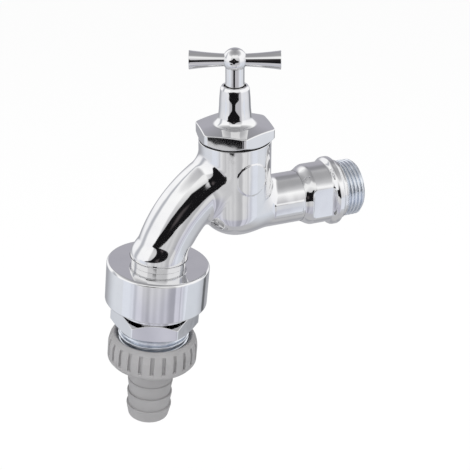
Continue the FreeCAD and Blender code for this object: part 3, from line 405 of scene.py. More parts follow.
def mesh_object(name: str, points: Array, normals: Array, quads: Array) -> Piece:
    """Object with its own normals, from points and faces of four corners, some of them doubled.

    Points that no face uses are left out, as are faces with fewer than three corners of their own.

    Args:
        name: name of the piece.
        points: in millimetres, in the object's frame.
        normals: one for each point.
        quads: point numbers; a face with a doubled corner becomes a triangle.

    Returns:
        The new object, in metres.
    """
    used, compact = np.unique(quads, return_inverse=True)
    quads = compact.reshape(quads.shape)
    points, normals = points[used], normals[used]
    keep = quads != np.roll(quads, 1, axis=1)
    lengths = keep.sum(axis=1)
    keep &= (lengths >= 3)[:, None]
    loops = quads[keep]
    lengths = lengths[lengths >= 3]
    mesh = bpy.data.meshes.new(name)
    mesh.vertices.add(len(points))
    mesh.vertices.foreach_set("co", (points * METRES).astype(np.float32).ravel())
    mesh.loops.add(len(loops))
    mesh.loops.foreach_set("vertex_index", loops.astype(np.int32))
    mesh.polygons.add(len(lengths))
    mesh.polygons.foreach_set("loop_start", np.concatenate([[0], np.cumsum(lengths)[:-1]]).astype(np.int32))
    mesh.update(calc_edges=True)
    mesh.validate()
    mesh.shade_smooth()
    if len(mesh.vertices) == len(normals):
        mesh.normals_split_custom_set_from_vertices(normals.tolist())
    piece = bpy.data.objects.new(name, mesh)
    bpy.context.scene.collection.objects.link(piece)
    return piece


def finish_piece(piece: Piece, body: Body, slot: Slot, material: Material,
                 stands_for: Sequence[str] = ()) -> Piece:
    """Give a new piece its body, its material and the nodes that it stands for.

    Args:
        piece: the new object.
        body: body that carries it.
        slot: material slot of the record; not used.
        material: its finish.
        stands_for: nodes that it replaces.

    Returns:
        The same object.
    """
    piece.data.materials.append(material)
    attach(piece, body.value)
    if stands_for:
        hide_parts(*stands_for)
    LOG.info("%s: %d faces on %s", piece.name, len(piece.data.polygons), body.value)
    return piece


# Finishes

STAIN_RANGE = (0.35, 0.7)  # values of the noise between which a stain comes in
GLOSS_RANGE = (0.3, 0.75)  # values of the noise between which the gloss changes


@dataclass(frozen=True)
class Finish:
    """Finish of a surface: its colour, its gloss, the unevenness of both, and the relief under them.

    Sizes of the pattern are in millimetres.
    """

    name: str
    colour: str
    roughness: float
    metallic: float = 0.0
    ior: float = 1.5
    stain: str = ""
    stain_size: float = 8.0
    stain_share: float = 0.0
    roughness_spread: float = 0.0
    wave_size: float = 6.0
    wave_depth: float = 0.0
    grain_size: float = 0.5
    grain_depth: float = 0.0

    def build(self) -> Material:
        """Build the material: noise on Object coordinates drives colour, roughness and two reliefs.

        A noise's scale is one over its size in metres, so its patches are about as large as that size.

        Returns:
            The material.
        """
        material = bpy.data.materials.new(self.name)
        material.use_nodes = True
        tree = material.node_tree
        tree.nodes.clear()
        looks = {"Metallic": self.metallic, "Roughness": self.roughness, "Base Color": linear(self.colour)}
        if not self.metallic:
            looks["IOR"] = self.ior
        place = add_node(tree, "ShaderNodeTexCoord").outputs["Object"]
        noise = {"Vector": place, "Scale": 1 / (self.stain_size * METRES), "Detail": 3.0, "Roughness": 0.5}
        patches = add_node(tree, "ShaderNodeTexNoise", inputs=noise)
        if self.stain_share:
            share = add_node(tree, "ShaderNodeMapRange",
                             inputs={"Value": patches, "From Min": STAIN_RANGE[0], "From Max": STAIN_RANGE[1],
                                     "To Max": self.stain_share})
            looks["Base Color"] = add_node(
                tree, "ShaderNodeMix", {"data_type": "RGBA"},
                {"Factor": share, "A": linear(self.colour), "B": linear(self.stain)})
        if self.roughness_spread:
            looks["Roughness"] = add_node(
                tree, "ShaderNodeMapRange",
                inputs={"Value": patches, "From Min": GLOSS_RANGE[0], "From Max": GLOSS_RANGE[1],
                        "To Min": self.roughness, "To Max": self.roughness + self.roughness_spread})
        for size, depth in ((self.wave_size, self.wave_depth), (self.grain_size, self.grain_depth)):
            if depth:
                height = add_node(tree, "ShaderNodeTexNoise",
                                  inputs={**noise, "Scale": 1 / (size * METRES), "Detail": 1.0})
                relief = {"Height": height, "Distance": depth * METRES, "Strength": 1.0}
                if "Normal" in looks:
                    relief["Normal"] = looks["Normal"]
                looks["Normal"] = add_node(tree, "ShaderNodeBump", inputs=relief)
        shader = add_node(tree, "ShaderNodeBsdfPrincipled", inputs=looks)
        add_node(tree, "ShaderNodeOutputMaterial", inputs={"Surface": shader})
        return material


# Bright chrome over a polished casting: mirror-like, with slow waves that the polishing leaves.
CAST_CHROME = Finish("polished_cast_chrome", "E9E9E9", 0.045, metallic=1.0, roughness_spread=0.03,
                     wave_size=8.0, wave_depth=0.12, stain="DEDEE0", stain_share=0.5)
# Bright chrome over turned brass: crisper reflections.
TURNED_CHROME = Finish("turned_chrome", "EAEAEA", 0.035, metallic=1.0, roughness_spread=0.03,
                       wave_size=6.0, wave_depth=0.03, stain="E0E0E2", stain_share=0.4)
# Chrome on a cut thread: the plating is thinner and duller in the grooves.
THREAD_CHROME = Finish("thread_chrome", "E9EDF2", 0.17, metallic=1.0, roughness_spread=0.06,
                       stain="CDD2DA", stain_share=0.6, stain_size=4.0)
# Moulded polypropylene in mid grey: matte, with a fine spark-eroded grain and faint flow marks.
GREY_POLYPROPYLENE = Finish("moulded_grey_polypropylene", "A1A0A1", 0.44, ior=1.49, roughness_spread=0.1,
                            stain="989798", stain_share=0.8, stain_size=12.0, grain_size=0.35,
                            grain_depth=0.02)
# Acetal of the inner valve: white and waxy.
WHITE_ACETAL = Finish("moulded_white_acetal", "E4E3DE", 0.35, ior=1.48, stain="DAD8D0", stain_share=0.6,
                      grain_size=0.4, grain_depth=0.01)
# Nitrile rubber: black, dusty grey where it has been handled.
NITRILE = Finish("nitrile_rubber", "1B1B1C", 0.6, ior=1.52, stain="2A2A2B", stain_share=0.7, stain_size=2.0,
                 grain_size=0.25, grain_depth=0.01)
# Free-cutting brass, turned and left bare inside.
TURNED_BRASS = Finish("turned_brass", "C9A45C", 0.24, metallic=1.0, roughness_spread=0.1, stain="A98648",
                      stain_share=0.6, stain_size=3.0)
# Drawn stainless spring wire.
SPRING_WIRE = Finish("drawn_stainless_wire", "B9BBBE", 0.22, metallic=1.0, roughness_spread=0.1,
                     stain="9A9CA0", stain_share=0.5, stain_size=1.5)


@dataclass
class Finishes:
    """Materials built once and shared by the pieces."""

    cast: Material
    turned: Material
    thread: Material
    grey_plastic: Material
    white_plastic: Material
    rubber: Material
    brass: Material
    steel: Material

    @classmethod
    def build(cls) -> "Finishes":
        """Build every material."""
        return cls(CAST_CHROME.build(), TURNED_CHROME.build(), THREAD_CHROME.build(),
                   GREY_POLYPROPYLENE.build(), WHITE_ACETAL.build(), NITRILE.build(), TURNED_BRASS.build(),
                   SPRING_WIRE.build())

    def dress_inner_parts(self) -> None:
        """Give each remaining CAD node the finish of its slot."""
        by_slot = {Slot.CHROME.value: self.turned, Slot.RUBBER.value: self.rubber,
                   Slot.BRASS.value: self.brass, Slot.STEEL.value: self.steel,
                   Slot.WHITE_PLASTIC.value: self.white_plastic, Slot.GREY_PLASTIC.value: self.grey_plastic}
        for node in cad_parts.values():
            for holder in node.material_slots:
                found = by_slot.get(holder.material.name.split(".")[0])
                if found is not None:
                    holder.material = found


# Frames of the sub-assemblies

SPINDLE_X = -51.4
OUTLET_LEAN = math.radians(5.7)
HANDLE_TURN = math.radians(-22.0)
SPINDLE_PLACE = Place((SPINDLE_X, 0.0, 0.0))
INLET_PLACE = Place((0.0, 0.0, 0.0), (0.0, 0.0, -1.0), (0.0, 1.0, 0.0), (1.0, 0.0, 0.0))
OUTLET_PLACE = Place((SPINDLE_X - 37.5, 0.0, -21.6), (math.cos(OUTLET_LEAN), 0.0, -math.sin(OUTLET_LEAN)),
                     (0.0, 1.0, 0.0), (math.sin(OUTLET_LEAN), 0.0, math.cos(OUTLET_LEAN)))
BALL_PLACE = Place((SPINDLE_X, 0.0, 69.6))


# Thread and casting


@dataclass(frozen=True)
class Thread:
    """Screw thread round the Z axis of its frame, from one height to another."""

    crest: float
    depth: float
    pitch: float
    bottom: float
    top: float
    bottom_chamfer: float
    top_chamfer: float
    flank: Span = (0.2, 0.9)
    columns: int = 220
    rows_in_pitch: int = 14

    @property
    def root(self) -> float:
        """Radius of the thread's root."""
        return self.crest - self.depth

    def shape(self, angles: Array, heights: Array) -> Array:
        """Points of the thread.

        The phase is the height less the pitch for each turn, over the pitch. The radius falls from the crest
        to the root and back with level crests and roots, and never goes outside a cone at each end.

        Args:
            angles: in radians.
            heights: one for each angle.

        Returns:
            The points in the thread's frame.
        """
        phase = np.mod(heights / self.pitch - angles / (2 * math.pi), 1.0)
        radius = self.crest - self.depth * smooth_step(np.abs(phase - 0.5) * 2, *self.flank)
        radius = np.minimum(radius, self.crest - self.bottom_chamfer + np.maximum(heights - self.bottom, 0))
        radius = np.minimum(radius, self.crest - self.top_chamfer + np.maximum(self.top - heights, 0))
        return round_axis(angles, radius, heights)

    def surface(self) -> Surface:
        """Grid of the whole thread."""
        rows = int((self.top - self.bottom) / self.pitch * self.rows_in_pitch)
        return fitted(self.shape, even_angles(self.columns), np.linspace(self.bottom, self.top, rows))


@dataclass(frozen=True)
class Casting:
    """Round chamber, inlet pipe, bent spout and its foot, blended into one skin.

    Each part is the distance to its surface. Two of them are joined by a rounded union: the larger of the
    blend's radius and the smaller distance, less the length of what each distance lacks of the radius. A pair
    is where a smooth step starts and ends, or a middle in X and Z.
    """

    chamber_radius: float = 16.3
    chamber_bottom: float = -10.8
    chamber_rounding: float = 12.0
    top: float = 32.8
    pipe_radius: float = 11.9
    pipe_end: float = -21.0
    spout_radius: float = 12.0
    spout_inner_x: float = -58.9
    bend_radius: float = 62.0
    foot_lean: float = math.radians(9.0)
    foot_radius: float = 13.1
    foot_flare: Span = (3.6, 12.0)
    foot_bottom: float = 3.2
    foot_side_x: float = -70.0
    blend: float = 3.0
    pipe_blend: float = 3.4
    relief_height: float = 0.28
    relief_side: Span = (6.0, 9.0)
    disc_middle: Span = (SPINDLE_X + 2.2, 19.4)
    disc_edge: Span = (7.0, 7.8)
    plate_middle: Span = (-29.2, -0.6)
    plate_ends: Span = (6.6, 7.2)
    plate_sides: Span = (3.3, 3.9)
    cell: float = 0.5
    low_corner: Triple = (-104.0, -18.5, -24.0)
    margin: float = 1.5
    slope_step: float = 0.01
    least_slope: float = 0.05
    newton_steps: int = 6

    def joined(self, first: Array, second: Array, blend: float) -> Array:
        """Rounded union of two distances."""
        lack = np.hypot(np.maximum(blend - first, 0), np.maximum(blend - second, 0))
        return np.maximum(blend, np.minimum(first, second)) - lack

    def chamber(self, points: Array) -> Array:
        """Distance to the upright cylinder with a rounded lower edge.

        Args:
            points: in the object's frame.

        Returns:
            One distance for each point.
        """
        radius = np.hypot(points[..., 0] - SPINDLE_X, points[..., 1])
        side = np.maximum(radius - (self.chamber_radius - self.chamber_rounding), 0)
        under = np.maximum(self.chamber_bottom + self.chamber_rounding - points[..., 2], 0)
        edge = np.hypot(side, under) - self.chamber_rounding
        return np.where(under > 0, edge, radius - self.chamber_radius)

    def pipe(self, points: Array) -> Array:
        """Distance to the inlet pipe, closed by half a ball under the spindle."""
        beyond = np.minimum(points[..., 0] - SPINDLE_X, 0)
        return np.sqrt(beyond ** 2 + points[..., 1] ** 2 + points[..., 2] ** 2) - self.pipe_radius

    def spout(self, points: Array) -> Array:
        """Distance to the bent tube, cut off inside the chamber, with the flared foot at its lower end.

        The tube's middle is an arc that leaves the foot with a small lean. Down the flare the middle goes
        over to the foot's own axis and the radius widens to the foot's, both by a smooth step.

        Args:
            points: in the object's frame.

        Returns:
            One distance for each point.
        """
        local = OUTLET_PLACE.inverse(points)
        centre_x = self.bend_radius * math.cos(self.foot_lean)
        centre_z = -self.bend_radius * math.sin(self.foot_lean)
        bent = np.hypot(local[..., 0] - centre_x, local[..., 2] - centre_z) - self.bend_radius
        share = smooth_step(local[..., 2], *self.foot_flare)
        across = share * bent - (1 - share) * local[..., 0]
        radius = self.foot_radius + (self.spout_radius - self.foot_radius) * share
        return np.maximum(np.hypot(across, local[..., 1]) - radius, points[..., 0] - self.spout_inner_x)

    def relief(self, points: Array) -> Array:
        """Height of two plain raised forms: a blank disc on the chamber's side and a blank plate on the pipe.

        Args:
            points: in the object's frame.

        Returns:
            One height for each point.
        """
        x, y, z = np.moveaxis(points, -1, 0)
        disc = 1 - smooth_step(np.hypot(x - self.disc_middle[0], z - self.disc_middle[1]), *self.disc_edge)
        plate = ((1 - smooth_step(np.abs(x - self.plate_middle[0]), *self.plate_ends))
                 * (1 - smooth_step(np.abs(z - self.plate_middle[1]), *self.plate_sides)))
        return smooth_step(-y, *self.relief_side) * self.relief_height * (disc + plate)

    def distance(self, points: Array) -> Array:
        """Distance to the blended skin, raised forms included."""
        stem = self.joined(self.chamber(points), self.pipe(points), self.pipe_blend)
        return self.joined(stem, self.spout(points), self.blend) - self.relief(points)

    def slope(self, points: Array) -> Array:
        """Direction in which the distance grows, from small steps along the three axes."""
        change = [self.distance(points + step) - self.distance(points - step)
                  for step in np.eye(3) * self.slope_step]
        return np.stack(change, axis=-1) / (2 * self.slope_step)

    def trimmed(self, points: Array) -> Array:
        """How far each point lies beyond the three cuts: the pipe's end, the chamber's top and the foot.

        Args:
            points: in the object's frame.

        Returns:
            Three distances for each point, above 0 where it is beyond the cut.
        """
        foot = self.foot_bottom - OUTLET_PLACE.inverse(points)[..., 2]
        below = np.where(points[..., 0] < self.foot_side_x, foot, -1.0)
        return np.stack([points[..., 0] - self.pipe_end, points[..., 2] - self.top, below], axis=-1)

    def build(self) -> tuple[Array, Array, Array]:
        """Points, normals and faces of the skin.

        Space is divided into small cubes. Each cube that the skin crosses gets one point, which Newton's
        steps move onto the skin: point less distance times slope over the slope's square. Each edge of the
        cubes that the skin crosses gives one face between the four cubes round it.

        Returns:
            Points in the object's frame, their normals, and point numbers of the faces.
        """
        high = (self.pipe_end + self.margin, -self.low_corner[1], self.top + self.margin)
        axes = [np.arange(start, end, self.cell) for start, end in zip(self.low_corner, high)]
        grid = np.stack(np.meshgrid(*axes, indexing="ij"), axis=-1)
        inside = self.distance(grid) < 0
        total = np.sum([inside[x:x - 1 or None, y:y - 1 or None, z:z - 1 or None].astype(np.int8)
                        for x in (0, 1) for y in (0, 1) for z in (0, 1)], axis=0)
        crossed = (total > 0) & (total < 8)
        numbers = np.full(crossed.shape, -1)
        numbers[crossed] = np.arange(crossed.sum())
        points = grid[:-1, :-1, :-1][crossed] + self.cell / 2
        for _ in range(self.newton_steps):
            slope = self.slope(points)
            square = np.maximum((slope ** 2).sum(-1), self.least_slope)
            step = slope * (self.distance(points) / square)[:, None]
            points = points - np.clip(step, -self.cell, self.cell)
        faces = np.concatenate([self.crossing_faces(inside, numbers, axis) for axis in range(3)])
        beyond = self.trimmed(points)
        faces = faces[~(beyond[faces].min(axis=1) > 0).any(axis=1)]
        cuts = np.array([[-1.0, 0.0, 0.0], [0.0, 0.0, -1.0], OUTLET_PLACE.z_axis])
        points = points + np.maximum(beyond, 0) @ cuts
        return points, unit(self.slope(points)), faces

    @staticmethod
    def crossing_faces(inside: Array, numbers: Array, axis: int) -> Array:
        """Faces round the cube edges that run along one axis and cross the skin.

        Args:
            inside: whether each corner of the cubes is inside the skin.
            numbers: number of each cube's point.
            axis: 0, 1 or 2 for X, Y or Z.

        Returns:
            Point numbers, shape (faces, 4), that turn outwards.
        """
        start = np.moveaxis(inside, axis, 0)[:-1, 1:-1, 1:-1]
        end = np.moveaxis(inside, axis, 0)[1:, 1:-1, 1:-1]
        cubes = np.moveaxis(numbers, axis, 0)
        ring = np.stack([cubes[:, :-1, :-1], cubes[:, 1:, :-1], cubes[:, 1:, 1:], cubes[:, :-1, 1:]], axis=-1)
        faces = np.concatenate([ring[start & ~end], ring[~start & end][:, ::-1]])
        return faces[:, ::-1] if axis == 1 else faces


# Sub-assemblies

SHARP = 0.1  # rounding of an edge that is left nearly sharp, in millimetres
ROUND = even_angles(240)


@dataclass
class ValveBody:
    """Cast body: blended skin, rim under the bonnet, spanner section with the inlet thread, and foot.

    A pair is where a smooth step along the inlet starts and ends, but for foot_edge, which is an inset and a
    height, and the bore's two roundings.
    """

    casting: Casting = field(default_factory=Casting)
    rim_radius: float = 16.3
    rim_height: float = 33.3
    rim_rounding: float = 0.3
    pocket_radius: float = 13.25
    pocket_floor: float = 24.8
    room_radius: float = 12.3
    room_floor: float = 10.5
    seat_radius: float = 9.0
    seat_height: float = 11.45
    port_radius: float = 7.0
    port_end: float = 4.0
    foot_overlap: float = 0.16
    foot_step: float = 0.8
    foot_step_top: float = 2.9
    foot_edge: Span = (0.1, 3.3)
    swell: Span = (-21.6, -15.6)
    barrel_radius: float = 14.35
    flats_across: float = 24.8
    flats_start: Span = (-18.2, -16.6)
    flats_end: Span = (-7.4, -6.2)
    flats_ease: float = 0.25
    collar_radius: float = 16.1
    collar_start: Span = (-7.6, -5.0)
    collar_end: Span = (-3.4, -1.2)
    section_end: float = -0.4
    section_rows: int = 150
    shoulder_radius: float = 13.95
    shoulder_start: float = -0.6
    shoulder_rounding: float = 0.4
    thread: Thread = Thread(crest=13.22, depth=1.16, pitch=1.814, bottom=0.0, top=9.3, bottom_chamfer=1.16,
                            top_chamfer=1.56)
    end_inset: float = 0.4
    bore_radius: float = 8.0
    bore_roundings: Span = (0.5, 7.9)
    bore_steps: int = 8

    def inlet(self, angles: Array, heights: Array) -> Array:
        """Points of the inlet from the pipe to its shoulder, in the inlet's frame.

        The radius swells from the pipe to the spanner section, where two flats cut it, then to the collar,
        and falls to the shoulder. Each change is a smooth step along the axis. The flats are eased: the
        radius loses half of what stands out of them and half of that length combined with the ease.

        Args:
            angles: in radians.
            heights: one for each angle.

        Returns:
            The points.
        """
        pipe = self.casting.pipe_radius
        flat = self.flats_across / 2 / np.maximum(np.abs(np.sin(angles)), TINY)
        radius = pipe + (self.barrel_radius - pipe) * smooth_step(heights, *self.swell)
        cut = smooth_step(heights, *self.flats_start) * (1 - smooth_step(heights, *self.flats_end))
        excess = radius - flat
        radius = radius - cut * (excess + np.hypot(excess, self.flats_ease)) / 2
        radius = radius + (self.collar_radius - radius) * smooth_step(heights, *self.collar_start)
        radius = radius + (self.shoulder_radius - radius) * smooth_step(heights, *self.collar_end)
        return round_axis(angles, radius, heights)

    def lip(self) -> Surface:
        """Rim under the bonnet, with the valve's inner room, the seat and the port below it.

        Returns:
            The surface in the object's frame.
        """
        profile = [(self.rim_radius, self.casting.top), (self.rim_radius, self.rim_height),
                   (self.pocket_radius, self.rim_height), (self.pocket_radius, self.pocket_floor),
                   (self.room_radius, self.pocket_floor), (self.room_radius, self.room_floor),
                   (self.seat_radius, self.room_floor), (self.seat_radius, self.seat_height),
                   (self.port_radius, self.seat_height), (self.port_radius, self.port_end),
                   (0.0, self.port_end)]
        return turned(fixed(profile), [self.rim_rounding] + [SHARP] * 8, ROUND).placed(SPINDLE_PLACE)

    def foot(self) -> Surface:
        """Lowest band of the spout's foot, which steps in above the housing.

        Returns:
            The surface in the object's frame.
        """
        rim = self.casting.foot_radius + self.foot_overlap
        inset, height = self.foot_edge
        profile = [(0.0, 0.0), (rim - self.foot_step, 0.0), (rim - self.foot_step, self.foot_step_top),
                   (rim - inset, self.foot_step_top), (rim, height)]
        return turned(fixed(profile), [SHARP] * 3, ROUND).placed(OUTLET_PLACE)

    def build(self) -> list[Piece]:
        """Build the meshes of the body.

        Returns:
            The skin, the turned pieces that finish its ends, and the inlet thread.
        """
        skin = mesh_object("body_skin", *self.casting.build())
        rows = np.linspace(self.casting.pipe_end, self.section_end, self.section_rows)
        shoulder = turned(fixed([(self.shoulder_radius, self.shoulder_start), (self.shoulder_radius, 0.0),
                                 (self.thread.root, 0.0)]), [self.shoulder_rounding], ROUND)
        bore_end = SPINDLE_X - self.bore_radius
        bore = turned(fixed([(self.thread.root - self.end_inset, self.thread.top),
                             (self.bore_radius, self.thread.top), (self.bore_radius, bore_end),
                             (0.0, bore_end)]), self.bore_roundings, ROUND, self.bore_steps)
        section, shoulder, screw, bore = (item.placed(INLET_PLACE) for item in (
            fitted(self.inlet, ROUND, rows), shoulder, self.thread.surface(), bore))
        ends = joined_mesh("body_ends", [self.lip(), self.foot(), section, shoulder])
        inlet = joined_mesh("inlet_thread", [screw, bore])
        return [skin, ends, inlet]

    def dress(self, pieces: Sequence[Piece], finishes: Finishes) -> None:
        """Give the body's pieces their finishes; the skin stands for the whole body node.

        Args:
            pieces: what build gives.
            finishes: materials to choose from.
        """
        skin, ends, inlet = pieces
        finish_piece(skin, Body.BODY, Slot.CHROME, finishes.cast, ["valve_body"])
        finish_piece(ends, Body.BODY, Slot.CHROME, finishes.cast)
        finish_piece(inlet, Body.BODY, Slot.CHROME, finishes.thread)


@dataclass
class Bonnet:
    """Hexagon flange with a shallow sloping top that sweeps up into a tapering neck."""

    hexagon: Hexagon = Hexagon(across=32.0, turn=23.0, edge=2.6)
    bore_radius: float = 4.15
    screw_radius: float = 13.2
    screw_top: float = 38.0
    underside: float = 34.3
    lip_radius: float = 15.75
    lip_bottom: float = 33.75
    lip_slope: float = 0.7
    flat_top: float = 40.0
    slope: float = math.radians(10.0)
    flange_rounding: float = 0.6
    sweep: float = 5.5
    neck_foot_radius: float = 7.75
    neck_bends: tuple[Span, Span] = ((7.05, 47.6), (6.83, 52.6))
    neck_bend_radius: float = 45.0
    neck_edge: Span = (6.42, 57.0)
    neck_roundings: Span = (1.6, 0.4)
    neck_rim_radius: float = 5.7
    neck_top: float = 58.2
    mouth_radius: float = 4.9
    mouth_floor: float = 54.2
    mouth_rounding: float = 0.15
    columns: int = 240
    arc_steps: int = 8

    def corners(self, angles: Array) -> Array:
        """Corners from the inside, under the flange, up its side, over the slope and along the neck.

        Args:
            angles: in radians.

        Returns:
            Radius and height of each corner for each angle.
        """
        edge = self.hexagon.radius(angles)
        inside = self.hexagon.inside
        crest = self.flat_top - (edge - inside) * math.tan(self.slope)
        neck_foot = self.flat_top + (inside - self.neck_foot_radius) * math.tan(self.slope)
        lower = self.lip_bottom + (edge - self.lip_radius) * self.lip_slope
        return corner_rows([
            (self.bore_radius, self.screw_top), (self.screw_radius, self.screw_top),
            (self.screw_radius, self.underside), (self.lip_radius, self.underside),
            (self.lip_radius, self.lip_bottom), (edge, lower), (edge, crest),
            (self.neck_foot_radius, neck_foot), *self.neck_bends, self.neck_edge,
            (self.neck_rim_radius, self.neck_top), (self.mouth_radius, self.neck_top),
            (self.mouth_radius, self.mouth_floor), (self.bore_radius, self.mouth_floor),
            (self.bore_radius, self.screw_top)], angles)

    def build(self) -> Piece:
        """Build the bonnet as one surface round the spindle.

        Returns:
            The bonnet.
        """
        radii = [*[SHARP] * 4, *[self.flange_rounding] * 2, self.sweep, *[self.neck_bend_radius] * 2,
                 *self.neck_roundings, self.mouth_rounding, SHARP, SHARP]
        shell = turned(self.corners, radii, self.hexagon.columns(self.columns), self.arc_steps)
        return joined_mesh("bonnet_shell", [shell.placed(SPINDLE_PLACE)])

    def dress(self, piece: Piece, finishes: Finishes) -> None:
        """Bright turned chrome."""
        finish_piece(piece, Body.BODY, Slot.CHROME, finishes.turned, ["bonnet"])


@dataclass
class Handle:
    """Toggle: ball on a neck, with an arm on each side that widens outwards.

    Heights are from the ball's centre. The ball's grid ends a small lean short of its top, where a cap closes
    it.
    """

    ball_radius: float = 5.3
    ball_rows: int = 60
    cap_lean: float = 1e-3
    neck_radius: float = 4.15
    neck_bottom: float = -15.1
    neck_rounding: float = 0.3
    hole_radius: float = 2.95
    hole_top: float = -3.4
    arm_base: float = 4.5
    arm_reach: float = 19.8
    arm_base_radius: float = 2.7
    arm_end_radius: float = 4.1
    arm_hollow: float = 0.16
    arm_inside: float = 1.0
    arm_rim: float = 0.5
    arm_rim_taper: float = 0.02
    arm_rounding: float = 0.3
    arm_rows: int = 24
    columns: int = 160

    def ball(self, angles: Array, lifts: Array) -> Array:
        """Points of the ball at an angle and a lift above its equator."""
        return round_axis(angles, self.ball_radius * np.cos(lifts), self.ball_radius * np.sin(lifts))

    def arm(self, angles: Array, lengths: Array) -> Array:
        """Points of an arm along Z: a cone whose side is hollowed by half a wave of a sine.

        Args:
            angles: in radians.
            lengths: distance from the ball's centre, one for each angle.

        Returns:
            The points.
        """
        share = (lengths - self.arm_base) / (self.arm_reach - self.arm_base)
        radius = self.arm_base_radius + (self.arm_end_radius - self.arm_base_radius) * share
        return round_axis(angles, radius - self.arm_hollow * np.sin(math.pi * np.clip(share, 0, 1)), lengths)

    def build(self) -> list[Piece]:
        """Build the hub and the two arms.

        Returns:
            The hub, the right arm and the left arm.
        """
        around = even_angles(self.columns)
        lowest = -math.acos(self.neck_radius / self.ball_radius)
        ball = fitted(self.ball, around, np.linspace(lowest, math.pi / 2 - self.cap_lean, self.ball_rows))
        cap = turned(fixed([(self.ball_radius * self.cap_lean, self.ball_radius), (0.0, self.ball_radius)]),
                     [], around)
        neck = turned(fixed([(0.0, self.hole_top), (self.hole_radius, self.hole_top),
                             (self.hole_radius, self.neck_bottom), (self.neck_radius, self.neck_bottom),
                             (self.neck_radius, self.ball_radius * math.sin(lowest))]),
                      [SHARP, SHARP, self.neck_rounding], around)
        hub = joined_mesh("toggle_hub", [item.placed(BALL_PLACE) for item in (ball, cap, neck)])
        rim, rim_start = self.arm_end_radius, self.arm_reach - self.arm_rim
        end = turned(fixed([(rim - self.arm_rim_taper, rim_start), (rim, self.arm_reach),
                            (0.0, self.arm_reach)]), [self.arm_rounding], around)
        lengths = np.linspace(self.arm_base - self.arm_inside, rim_start, self.arm_rows)
        side = fitted(self.arm, around, lengths)
        arms = []
        for name, sign in (("toggle_arm_right", 1.0), ("toggle_arm_left", -1.0)):
            along = (sign * math.cos(HANDLE_TURN), sign * math.sin(HANDLE_TURN), 0.0)
            across = (-sign * math.sin(HANDLE_TURN), sign * math.cos(HANDLE_TURN), 0.0)
            place = Place(BALL_PLACE.origin, across, (0.0, 0.0, 1.0), along)
            arms.append(joined_mesh(name, [side.placed(place), end.placed(place)]))
        return [hub, *arms]

    def dress(self, pieces: Sequence[Piece], finishes: Finishes) -> None:
        """Bright turned chrome on all three.

        Args:
            pieces: what build gives.
            finishes: materials to choose from.
        """
        for piece, node in zip(pieces, ("handle_hub", "handle_arm_right", "handle_arm_left")):
            finish_piece(piece, Body.HANDLE, Slot.CHROME, finishes.turned, [node])


